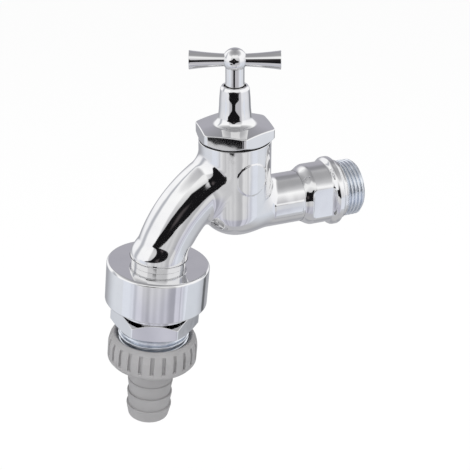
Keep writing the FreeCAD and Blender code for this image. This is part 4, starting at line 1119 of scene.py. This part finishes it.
@dataclass
class Breaker:
    """Aerator and backflow housing with the hexagonal nipple and outlet thread under it.

    Heights are from the housing's top. A room inside is a radius and the height of its floor.
    """

    housing_radius: float = 23.6
    housing_height: float = 19.6
    housing_roundings: tuple[float, ...] = (0.1, 0.1, 0.1, 0.1, 0.5, 0.2, 1.0, 1.3, 0.1)
    housing_steps: int = 10
    wall: float = 2.6
    roof: float = -3.5
    hole_radius: float = 11.15
    ledge: float = -9.8
    sleeve_port: float = 8.6
    sleeve_radius: float = 15.2
    sleeve_bottom: float = -11.95
    hexagon: Hexagon = Hexagon(across=36.0, turn=42.0, edge=1.2)
    hexagon_top: float = -22.3
    hexagon_bottom: float = -32.0
    upper_radius: float = 15.8
    upper_slope: float = 0.74
    lower_chamfer: float = 1.4
    face_inset: float = 0.3
    face_step: float = 0.1
    hexagon_roundings: tuple[float, ...] = (0.1, 0.2, 0.25, 0.4, 0.2)
    hexagon_columns: int = 300
    hexagon_steps: int = 5
    neck_radius: float = 17.6
    neck_top: float = -4.2
    neck_overlap: float = 1.0
    neck_columns: int = 720
    neck_rows: int = 110
    port_radius: float = 1.3
    port_height: float = -14.2
    port_depth: float = 3.0
    port_edge: Span = (-0.15, 0.05)
    float_room: Span = (15.25, -12.3)
    cartridge_room: Span = (14.0, -21.0)
    bore_radius: float = 11.2
    thread_crest: float = 16.625
    thread_depth: float = 1.48
    thread_pitch: float = 2.309
    thread_chamfers: Span = (1.78, 1.48)
    undercut: float = 0.8
    end: float = -43.8
    columns: int = 320

    @property
    def thread(self) -> Thread:
        """Outlet thread from the nipple's end to the undercut below the hexagon."""
        return Thread(self.thread_crest, self.thread_depth, self.thread_pitch, self.end,
                      self.hexagon_bottom - self.undercut, *self.thread_chamfers)

    def hexagon_corners(self, angles: Array) -> Array:
        """Corners of the nipple from the thread up over the hexagon to its neck.

        Args:
            angles: in radians.

        Returns:
            Radius and height of each corner for each angle.
        """
        edge, inside, root = self.hexagon.radius(angles), self.hexagon.inside, self.thread.root
        share = (edge - inside) / (inside / math.cos(math.pi / 6) - inside)
        return corner_rows([
            (root, self.hexagon_bottom - self.undercut), (root, self.hexagon_bottom),
            (inside - self.face_inset, self.hexagon_bottom),
            (edge, self.hexagon_bottom + self.face_step + self.lower_chamfer * share),
            (edge, self.hexagon_top - self.upper_slope * (edge - self.upper_radius)),
            (self.neck_radius, self.hexagon_top - self.upper_slope * (self.neck_radius - self.upper_radius)),
            (self.neck_radius, self.hexagon_top + self.neck_overlap)], angles)

    def neck(self, angles: Array, heights: Array) -> Array:
        """Neck inside the skirt, with six air ports as round dents that are steep at their rims.

        Args:
            angles: in radians.
            heights: one for each angle.

        Returns:
            The points.
        """
        from_port = np.mod(angles, math.pi / 3) - math.pi / 6
        away = np.hypot(from_port * self.neck_radius, heights - self.port_height) - self.port_radius
        dent = self.port_depth * (1 - smooth_step(away, *self.port_edge))
        return round_axis(angles, self.neck_radius - dent, heights)

    def housing(self) -> Surface:
        """Cup with its skirt, the hole for the spout's foot and the sleeve inside.

        Returns:
            The surface in its own frame.
        """
        rim, low, inner = self.housing_radius, -self.housing_height, self.housing_radius - self.wall
        profile = [(self.hole_radius, self.ledge), (self.sleeve_port, self.ledge),
                   (self.sleeve_port, self.sleeve_bottom), (self.sleeve_radius, self.sleeve_bottom),
                   (self.sleeve_radius, self.roof), (inner, self.roof), (inner, low), (rim, low), (rim, 0.0),
                   (self.hole_radius, 0.0), (self.hole_radius, self.ledge)]
        return turned(fixed(profile), self.housing_roundings, even_angles(self.columns), self.housing_steps)

    def build(self) -> list[Piece]:
        """Build the housing, the nipple and its thread.

        Returns:
            The three pieces.
        """
        hexagon = turned(self.hexagon_corners, self.hexagon_roundings,
                         self.hexagon.columns(self.hexagon_columns), self.hexagon_steps)
        heights = np.linspace(self.hexagon_top + self.neck_overlap, self.neck_top, self.neck_rows)
        neck = fitted(self.neck, even_angles(self.neck_columns), heights)
        float_radius, float_floor = self.float_room
        cartridge_radius, cartridge_floor = self.cartridge_room
        inner = turned(fixed([(self.neck_radius, self.neck_top), (float_radius, self.neck_top),
                              (float_radius, float_floor), (cartridge_radius, float_floor),
                              (cartridge_radius, cartridge_floor), (self.bore_radius, cartridge_floor),
                              (self.bore_radius, self.end), (self.thread.root - self.face_inset, self.end)]),
                       [SHARP] * 6, even_angles(self.columns))
        return [joined_mesh(name, [item.placed(OUTLET_PLACE) for item in items])
                for name, items in (("breaker_shell", [self.housing()]), ("nipple_hexagon", [hexagon, neck]),
                                    ("outlet_thread", [self.thread.surface(), inner]))]

    def dress(self, pieces: Sequence[Piece], finishes: Finishes) -> None:
        """Bright turned chrome, duller on the thread.

        Args:
            pieces: what build gives.
            finishes: materials to choose from.
        """
        shell, nipple, screw = pieces
        finish_piece(shell, Body.BODY, Slot.CHROME, finishes.turned, ["breaker_housing"])
        finish_piece(nipple, Body.BODY, Slot.CHROME, finishes.turned, ["breaker_nipple"])
        finish_piece(screw, Body.BODY, Slot.CHROME, finishes.thread)


@dataclass
class Union:
    """Ribbed union nut and barbed hose tail of moulded plastic.

    Heights are from the housing's top, but for nut_base's, which is above the nut's bottom. The nut's base,
    shoulder and taper are each a radius and a height, and its face lies between two radii.
    """

    rib_count: int = 24
    first_groove: float = math.radians(11.5)
    rib_radius: float = 21.1
    rib_bottom: float = -48.45
    groove_depth: float = 1.3
    groove_width: float = 1.7
    groove_edge: Span = (-0.12, 0.08)
    groove_column_edge: Span = (-0.14, 0.1)
    groove_edge_columns: int = 5
    groove_bottom: float = -48.05
    groove_top: float = -42.5
    nut_top: float = -37.3
    nut_bottom: float = -51.3
    nut_base: Span = (19.9, 1.5)
    nut_shoulder: Span = (20.62, -40.2)
    nut_taper: Span = (20.2, -38.9)
    nut_face: Span = (18.6, 18.0)
    nut_thread: float = 16.68
    nut_lead_in: float = 1.3
    nut_roundings: tuple[float, ...] = (0.1, 0.6, 0.9, 0.15, 0.15, 0.8, 0.5, 0.5, 0.25, 0.2, 0.2)
    nut_hole: float = 10.7
    nut_floor: float = -48.2
    nut_columns: int = 96
    tail_radius: float = 10.4
    tail_bore: float = 7.5
    tail_top: float = -45.8
    tail_end: float = -82.5
    tail_end_inset: float = 0.4
    tail_end_roundings: Span = (0.6, 1.7)
    collar_radius: float = 15.5
    barb_radius: float = 10.8
    barb_root: float = 9.95
    barb_pitch: float = 6.9
    barb_start: float = -62.0
    barb_land: float = 0.8
    barb_step: float = 0.05
    barb_roundings: Triple = (0.4, 0.3, 0.15)
    collar_roundings: Triple = (0.2, 0.2, 0.2)
    tail_columns: int = 200
    arc_steps: int = 5

    def groove(self, angles: Array) -> Array:
        """Share of the groove at an angle: 1 in a groove and 0 on a rib, with eased edges.

        Args:
            angles: in radians.

        Returns:
            One share for each angle.
        """
        spacing = 2 * math.pi / self.rib_count
        from_middle = np.mod(angles - self.first_groove + spacing / 2, spacing) - spacing / 2
        beyond = np.abs(from_middle) * self.rib_radius - self.groove_width / 2
        return 1 - smooth_step(beyond, *self.groove_edge)

    def nut_corners(self, angles: Array) -> Array:
        """Corners of the nut from its underside up over the ribs and down into its thread.

        Args:
            angles: in radians.

        Returns:
            Radius and height of each corner for each angle.
        """
        share = self.groove(angles)
        shoulder, shoulder_height = self.nut_shoulder
        base, base_height = self.nut_base
        cut = self.rib_radius - self.groove_depth * share
        start = shoulder + (self.rib_radius - self.groove_depth - shoulder) * share
        return corner_rows([
            (self.nut_hole, self.nut_floor), (self.nut_hole, self.nut_bottom), (base, self.nut_bottom),
            (self.rib_radius, self.nut_bottom + base_height), (self.rib_radius, self.rib_bottom),
            (cut, self.groove_bottom), (cut, self.groove_top), (start, shoulder_height), self.nut_taper,
            (self.nut_face[0], self.nut_top), (self.nut_face[1], self.nut_top),
            (self.nut_thread, self.nut_top - self.nut_lead_in), (self.nut_thread, self.nut_floor)], angles)

    def groove_columns(self) -> Array:
        """Columns with extra ones on both edges of each groove.

        Returns:
            Angles of the columns.
        """
        centres = self.first_groove + np.arange(self.rib_count) * 2 * math.pi / self.rib_count
        steps = np.linspace(*self.groove_column_edge, self.groove_edge_columns) + self.groove_width / 2
        offsets = np.concatenate([-steps, [0.0], steps]) / self.rib_radius
        return with_extra(self.nut_columns, (centres[:, None] + offsets).ravel())

    def tail(self) -> Surface:
        """Tail from the top of its bore, round its end and over the barbs to the collar inside the nut.

        Returns:
            The surface in its own frame.
        """
        profile = [(self.tail_bore, self.tail_top), (self.tail_bore, self.tail_end),
                   (self.barb_root - self.tail_end_inset, self.tail_end)]
        arcs = [*self.tail_end_roundings]
        for barb in (2, 1, 0):
            crest = self.barb_start - barb * self.barb_pitch
            above = self.barb_root if barb else self.tail_radius
            profile += [(self.barb_radius, crest - self.barb_land), (self.barb_radius, crest),
                        (above, crest + self.barb_step)]
            arcs += self.barb_roundings
        profile += [(self.tail_radius, self.nut_floor), (self.collar_radius, self.nut_floor),
                    (self.collar_radius, self.tail_top), (self.tail_bore, self.tail_top)]
        arcs += self.collar_roundings
        return turned(fixed(profile), arcs, even_angles(self.tail_columns), self.arc_steps)

    def build(self) -> list[Piece]:
        """Build the nut and the tail."""
        nut = turned(self.nut_corners, self.nut_roundings, self.groove_columns(), self.arc_steps)
        return [joined_mesh("ribbed_nut", [nut.placed(OUTLET_PLACE)]),
                joined_mesh("barbed_tail", [self.tail().placed(OUTLET_PLACE)])]

    def dress(self, pieces: Sequence[Piece], finishes: Finishes) -> None:
        """Matte grey plastic on both.

        Args:
            pieces: what build gives.
            finishes: materials to choose from.
        """
        nut, tail = pieces
        finish_piece(nut, Body.NUT, Slot.GREY_PLASTIC, finishes.grey_plastic, ["union_nut"])
        finish_piece(tail, Body.TAIL, Slot.GREY_PLASTIC, finishes.grey_plastic, ["hose_tail"])


# Stage

SMOOTH = {"interpolation_type": "SMOOTHSTEP"}
DEGREES = math.degrees(1.0)  # in a radian
Step = tuple[Source, float, float]


def layered(tree: Tree, base: Source | Colour, *layers: tuple[Source | Colour, Sequence[Step]]) -> Source:
    """Lay colours over a base, each with the product of its steps as its share.

    A step goes smoothly from 0 to 1 as its value goes from a start to an end, which may be the smaller.

    Args:
        tree: node tree that works it out.
        base: the lowest colour.
        layers: each a colour and its steps.

    Returns:
        The colour on top.
    """
    for colour, steps in layers:
        share: Source | float = 1.0
        for value, start, end in steps:
            step = add_node(tree, "ShaderNodeMapRange", SMOOTH,
                            {"Value": value, "From Min": start, "From Max": end})
            share = add_node(tree, "ShaderNodeMath", {"operation": "MULTIPLY"}, {0: share, 1: step})
        base = add_node(tree, "ShaderNodeMix", {"data_type": "RGBA"},
                        {"Factor": share, "A": base, "B": colour})
    return base


class Way(Enum):
    """Measures of a mirrored direction, in degrees, that bound the room's patches."""

    TURN = "azimuth from straight ahead, to the right"
    AWAY = "the same without its sign"
    RISE = "elevation"
    OPENING = "how far outside the dark opening's outline"
    ARCH = "how far from the arch's middle line"


@dataclass(frozen=True)
class Patch:
    """Patch of the mirrored room: one tone, or tones by elevation, and the steps that bound it.

    A step goes smoothly from 0 to 1 as its measure goes from a start to an end, and all are multiplied.
    """

    tone: str | tuple[tuple[float, str], ...]
    steps: tuple[tuple[Way, float, float], ...]


SIDE_WALLS = ((-60, "B6B6B8"), (-30, "D2D7DF"), (-14, "DEDFE3"), (0, "F6F6F8"), (38, "FCFCFC"),
              (50, "C6C6C8"), (64, "A6A6A8"), (90, "8E8E90"))
FRONT_WALL = ((-60, "B4B4B8"), (-28, "BAB9BE"), (5, "B6B5B8"), (28, "D2D2D3"), (42, "F2F2F2"),
              (56, "ECECEC"), (66, "A6A6A8"), (90, "8E8E90"))
BACK_WALL = ((-60, "B0B0B4"), (-28, "A2A3A8"), (-5, "A8A8AE"), (26, "AAA9B1"), (42, "8E8E92"),
             (60, "9A9A9E"), (90, "8E8E90"))
PATCHES = (
    # Front wall
    Patch(FRONT_WALL, ((Way.TURN, -44, -36), (Way.TURN, 52, 40))),
    # Low wall at the sides
    Patch("9E9FA4", ((Way.AWAY, 98, 150), (Way.RISE, -4, -16))),
    # Back wall
    Patch(BACK_WALL, ((Way.AWAY, 146, 164),)),
    # Arch on the left wall
    Patch("B6B8BE", ((Way.ARCH, 16, 2), (Way.RISE, -14, -8), (Way.RISE, 42, 38))),
    # Post at the back on the right
    Patch("646669", ((Way.TURN, 126, 132), (Way.TURN, 146, 140), (Way.RISE, -40, -35), (Way.RISE, -10, -18))),
    # Dark opening
    Patch("161517", ((Way.OPENING, 1.5, -1.5), (Way.RISE, -28, -24), (Way.RISE, 32, 28))),
    # Dark skirting in front
    Patch("161517", ((Way.TURN, -50, -46), (Way.TURN, -22, -26), (Way.RISE, -34, -31),
                     (Way.RISE, -19.4, -20.4))),
    # Glow in the opening
    Patch("4C4748", ((Way.TURN, -16, -7), (Way.TURN, 4, -5), (Way.RISE, 0, 6), (Way.RISE, 16, 9))),
)


@dataclass
class Stage:
    """Pale floor, studio room, a card in front of the valve, soft lamps and the camera.

    The chrome shows the room: white walls at the sides, a grey ceiling, a grey wall behind, and in front a
    dark opening. Lengths are in millimetres but for the card's bands, the lamps and the camera's clipping,
    which are in metres.
    """

    azimuth: float = math.radians(-21.5)
    elevation: float = math.radians(27.4)
    distance: float = 500.0
    target: Triple = (-51.37, 0.0, -15.0)
    focal_pixels: float = 1075.0
    image_pixels: float = 470.0
    sensor_width: float = 36.0
    clip: Span = (0.01, 50.0)
    floor_height: float = -210.0
    floor_reach: float = 4000.0
    card_ahead: float = 136.0
    card_top: float = -13.6
    card_reach: float = 420.0
    card_fold: float = 42.0
    card_tones: tuple[str, str] = ("B7B7B9", "DEDEDF")
    card_low_tones: tuple[str, str] = ("A2A2AC", "CDCDD8")
    card_side_tone: str = "DCE0E9"
    card_folds: Span = (0.3, 0.7)
    card_low_folds: Span = (0.35, 0.65)
    card_low_band: Span = (-0.045, -0.085)
    card_side_band: Span = (0.08, 0.2)
    opening_middle: float = -9.0
    opening_half_width: float = 8.0
    opening_growth: tuple = ((16.0, 31, 6), (22.0, 13, 0), (-34.0, -7, -16), (-4.0, -16, -24))
    arch_foot: float = -101.0
    arch_bow: float = 30.0
    arch_top: float = 40.0
    mirror_strength: float = 1.2
    room_tone: str = "FFFFFF"
    room_light: float = 0.62
    backdrop_tone: str = "FEFEFE"
    floor_tone: str = "E8E8E8"
    floor_glow_tone: str = "FFFFFF"
    floor_glow: float = 0.9
    floor_shade_tone: str = "595959"
    lamp_size: float = 0.7
    lamps: tuple = (("lamp_above", (-0.1, -0.25, 0.9), 6.5), ("lamp_left", (-0.9, -0.5, 0.35), 3.0),
                    ("lamp_right", (0.7, -0.6, 0.3), 1.6))

    @property
    def ahead(self) -> Triple:
        """Level direction from the object towards the camera."""
        return math.sin(self.azimuth), -math.cos(self.azimuth), 0.0

    @property
    def side(self) -> Triple:
        """Level direction to the camera's right."""
        return math.cos(self.azimuth), math.sin(self.azimuth), 0.0

    def add_camera(self) -> None:
        """Place the camera at the photograph's angle."""
        data = bpy.data.cameras.new("camera")
        data.sensor_width = self.sensor_width
        data.lens = self.focal_pixels / self.image_pixels * self.sensor_width
        data.clip_start, data.clip_end = self.clip
        camera = bpy.data.objects.new("camera", data)
        bpy.context.scene.collection.objects.link(camera)
        level, upright = math.cos(self.elevation), math.sin(self.elevation)
        back = np.array(self.ahead) * level + np.array([0.0, 0.0, upright])
        self.aim(camera, (np.array(self.target) + back * self.distance) * METRES, back)
        bpy.context.scene.camera = camera

    @staticmethod
    def aim(thing: Piece, spot: Array, back: Array) -> None:
        """Place a camera or lamp at a spot, with its back to a direction and its top up.

        Args:
            thing: the camera or lamp.
            spot: in metres.
            back: unit direction away from what it looks at.
        """
        right = unit(np.cross([0.0, 0.0, 1.0], back))
        matrix = np.eye(4)
        matrix[:3, 0], matrix[:3, 1], matrix[:3, 2], matrix[:3, 3] = right, np.cross(back, right), back, spot
        thing.matrix_world = matrix.T.tolist()

    def sheet(self, name: str, corners: Sequence[Sequence[float]]) -> tuple[Piece, Tree]:
        """Four-cornered stage piece with an empty material.

        Args:
            name: name of the piece and its material.
            corners: in millimetres.

        Returns:
            The object and its material's node tree.
        """
        mesh = bpy.data.meshes.new(name)
        points = [tuple(value * METRES for value in corner) for corner in corners]
        mesh.from_pydata(points, [], [(0, 1, 2, 3)])
        sheet = bpy.data.objects.new(name, mesh)
        bpy.context.scene.collection.objects.link(sheet)
        material = bpy.data.materials.new(name + "_paper")
        material.use_nodes = True
        material.node_tree.nodes.clear()
        mesh.materials.append(material)
        return sheet, material.node_tree

    @staticmethod
    def by_ray(tree: Tree, output_kind: str, lighting: Source, mirrored: Source, seen: Source) -> None:
        """Show one shader to the chrome and to clear parts, one to the camera, and one to all else.

        Args:
            tree: node tree of a material or the world.
            output_kind: type name of its output node.
            lighting: what other rays meet.
            mirrored: what the chrome and clear parts show.
            seen: what the camera sees.
        """
        path = add_node(tree, "ShaderNodeLightPath").outputs
        through = add_node(tree, "ShaderNodeMath", {"operation": "MAXIMUM"},
                           {0: path["Is Glossy Ray"], 1: path["Is Transmission Ray"]})
        first = add_node(tree, "ShaderNodeMixShader", inputs={0: through, 1: lighting, 2: mirrored})
        second = add_node(tree, "ShaderNodeMixShader", inputs={0: path["Is Camera Ray"], 1: first, 2: seen})
        add_node(tree, output_kind, inputs={"Surface": second})

    def add_floor(self) -> None:
        """Pale floor well below the tail.

        It is white to the camera but for the object's shadow, and the chrome sees the room's lower half
        instead.
        """
        corners = [(x * self.floor_reach, y * self.floor_reach, self.floor_height)
                   for x, y in ((-1, -1), (1, -1), (1, 1), (-1, 1))]
        _, tree = self.sheet("floor", corners)
        clear = add_node(tree, "ShaderNodeBsdfTransparent")
        paper = add_node(tree, "ShaderNodeBsdfDiffuse", inputs={"Color": linear(self.floor_tone)})
        glow = add_node(tree, "ShaderNodeEmission",
                        inputs={"Color": linear(self.floor_glow_tone), "Strength": self.floor_glow})
        dim = add_node(tree, "ShaderNodeBsdfDiffuse", inputs={"Color": linear(self.floor_shade_tone)})
        seen = add_node(tree, "ShaderNodeAddShader", inputs={0: glow, 1: dim})
        self.by_ray(tree, "ShaderNodeOutputMaterial", paper, clear, seen)

    def add_card(self) -> None:
        """Grey card that stands on the floor in front of the valve, out of sight but for the chrome.

        Noise along its width makes upright folds. Its lower part is darker and its sides are pale.
        """
        ahead, side = np.array(self.ahead), np.array(self.side)
        middle = np.dot(self.target, side)
        reach, low, top = self.card_reach, self.floor_height, self.card_top
        corners = [ahead * self.card_ahead + side * (across + middle) + np.array([0.0, 0.0, height])
                   for across, height in ((-reach, low), (reach, low), (reach, top), (-reach, top))]
        card, tree = self.sheet("card", corners)
        card.visible_camera = card.visible_diffuse = card.visible_transmission = card.visible_shadow = False
        place = add_node(tree, "ShaderNodeTexCoord").outputs["Object"]
        height = add_node(tree, "ShaderNodeSeparateXYZ", inputs={0: place}).outputs["Z"]
        across = add_node(tree, "ShaderNodeVectorMath", {"operation": "DOT_PRODUCT"},
                          {0: place, 1: self.side})
        folds = add_node(tree, "ShaderNodeTexNoise", {"noise_dimensions": "1D"},
                         {"W": across, "Scale": 1 / (self.card_fold * METRES), "Detail": 1.0})
        beside = add_node(tree, "ShaderNodeMath", {"operation": "SUBTRACT"},
                          {0: across, 1: float(middle) * METRES})
        off = add_node(tree, "ShaderNodeMath", {"operation": "ABSOLUTE"}, {0: beside})
        (dark, pale), (low_dark, low_pale) = ([linear(tone) for tone in tones]
                                              for tones in (self.card_tones, self.card_low_tones))
        lower = layered(tree, low_dark, (low_pale, [(folds, *self.card_low_folds)]))
        tone = layered(tree, dark, (pale, [(folds, *self.card_folds)]),
                       (lower, [(height, *self.card_low_band)]),
                       (linear(self.card_side_tone), [(off, *self.card_side_band)]))
        paper = add_node(tree, "ShaderNodeEmission", inputs={"Color": tone, "Strength": self.mirror_strength})
        add_node(tree, "ShaderNodeOutputMaterial", inputs={"Surface": paper})

    def measures(self, tree: Tree) -> dict[Way, Source]:
        """Measures of the direction in which the room is seen.

        Each is a value carried through a chain of arithmetic, where an earlier measure may come in. The dark
        opening is a bell over a narrow stem: its half width is a sum of smooth steps of the elevation. The
        arch's middle line stands at its foot's azimuth, and turns back by its bow times the fourth power of
        the elevation over its top's.

        Args:
            tree: the world's node tree.

        Returns:
            One value in degrees for each measure.
        """
        way = add_node(tree, "ShaderNodeTexCoord").outputs["Generated"]
        front, right, height = (
            add_node(tree, "ShaderNodeVectorMath", {"operation": "DOT_PRODUCT"}, {0: way, 1: axis})
            for axis in (self.ahead, self.side, (0.0, 0.0, 1.0)))
        lift = add_node(tree, "ShaderNodeMath", {"operation": "ARCSINE"}, {0: height})
        rise = add_node(tree, "ShaderNodeMath", {"operation": "MULTIPLY"}, {0: lift, 1: DEGREES})
        width: Source | float = self.opening_half_width
        for gain, start, end in self.opening_growth:
            growth = add_node(tree, "ShaderNodeMapRange", SMOOTH,
                              {"Value": rise, "From Min": start, "From Max": end, "To Max": gain})
            width = add_node(tree, "ShaderNodeMath", {"operation": "ADD"}, {0: width, 1: growth})
        found: dict[Way, Source] = {Way.RISE: rise}
        for measure, value, steps in (
                (Way.TURN, right, (("ARCTAN2", front), ("MULTIPLY", DEGREES))),
                (Way.AWAY, Way.TURN, (("ABSOLUTE", 0.0),)),
                (Way.OPENING, Way.TURN, (("SUBTRACT", self.opening_middle), ("ABSOLUTE", 0.0),
                                         ("SUBTRACT", width))),
                (Way.ARCH, Way.RISE, (("MAXIMUM", 0.0), ("DIVIDE", self.arch_top), ("POWER", 4.0),
                                      ("MULTIPLY", self.arch_bow), ("SUBTRACT", self.arch_foot),
                                      ("ADD", Way.TURN), ("ABSOLUTE", 0.0)))):
            for operation, other in steps:
                value = add_node(tree, "ShaderNodeMath", {"operation": operation},
                                 {0: found.get(value, value), 1: found.get(other, other)})
            found[measure] = value
        return found

    @staticmethod
    def by_elevation(tree: Tree, rise: Source, stops: Sequence[tuple[float, str]]) -> Source:
        """Colour of a wall, straight between its stops.

        Args:
            tree: the world's node tree.
            rise: elevation in degrees.
            stops: elevation and hex value of each stop.

        Returns:
            The colour.
        """
        share = add_node(tree, "ShaderNodeMapRange",
                         inputs={"Value": rise, "From Min": -90.0, "From Max": 90.0})
        ramp = add_node(tree, "ShaderNodeValToRGB", inputs={"Fac": share})
        elements = ramp.color_ramp.elements
        while len(elements) < len(stops):
            elements.new(0.5)
        for element, (degrees, code) in zip(elements, stops):
            element.position = (degrees + 90.0) / 180.0
            element.color = linear(code)
        return ramp

    def add_room(self) -> None:
        """Room that lights the object evenly, shows white to the camera and its walls to the chrome."""
        world = bpy.data.worlds.new("studio_room")
        bpy.context.scene.world = world
        world.use_nodes = True
        tree = world.node_tree
        tree.nodes.clear()
        measures = self.measures(tree)
        rise = measures[Way.RISE]
        walls = self.by_elevation(tree, rise, SIDE_WALLS)
        for patch in PATCHES:
            tone = patch.tone
            colour = linear(tone) if isinstance(tone, str) else self.by_elevation(tree, rise, tone)
            steps = [(measures[way], start, end) for way, start, end in patch.steps]
            walls = layered(tree, walls, (colour, steps))
        mirrored, plain, white = (
            add_node(tree, "ShaderNodeBackground", inputs={"Color": tone, "Strength": strength})
            for tone, strength in ((walls, self.mirror_strength), (linear(self.room_tone), self.room_light),
                                   (linear(self.backdrop_tone), 1.0)))
        self.by_ray(tree, "ShaderNodeOutputWorld", plain, mirrored, white)

    def add_lamps(self) -> None:
        """Large soft lamps above, left and right; the chrome doesn't mirror them."""
        for name, spot, power in self.lamps:
            data = bpy.data.lights.new(name, "AREA")
            data.shape, data.size, data.energy = "SQUARE", self.lamp_size, power
            lamp = bpy.data.objects.new(name, data)
            lamp.visible_glossy = lamp.visible_camera = False
            bpy.context.scene.collection.objects.link(lamp)
            self.aim(lamp, np.array(spot), unit(np.array(spot) - np.array(self.target) * METRES))

    def build(self) -> None:
        """Build the camera, the floor, the card, the room and the lamps."""
        self.add_camera()
        self.add_floor()
        self.add_card()
        self.add_room()
        self.add_lamps()
        bpy.context.scene.view_settings.view_transform = "Standard"


def main() -> None:
    """Build the stage, then each sub-assembly in order, and dress the parts that stay as they are."""
    logging.basicConfig(level=logging.INFO, format="%(message)s")
    Stage().build()
    finishes = Finishes.build()
    finishes.dress_inner_parts()
    for assembly in (ValveBody(), Bonnet(), Handle(), Breaker(), Union()):
        assembly.dress(assembly.build(), finishes)


if __name__ == "__main__":
    main()
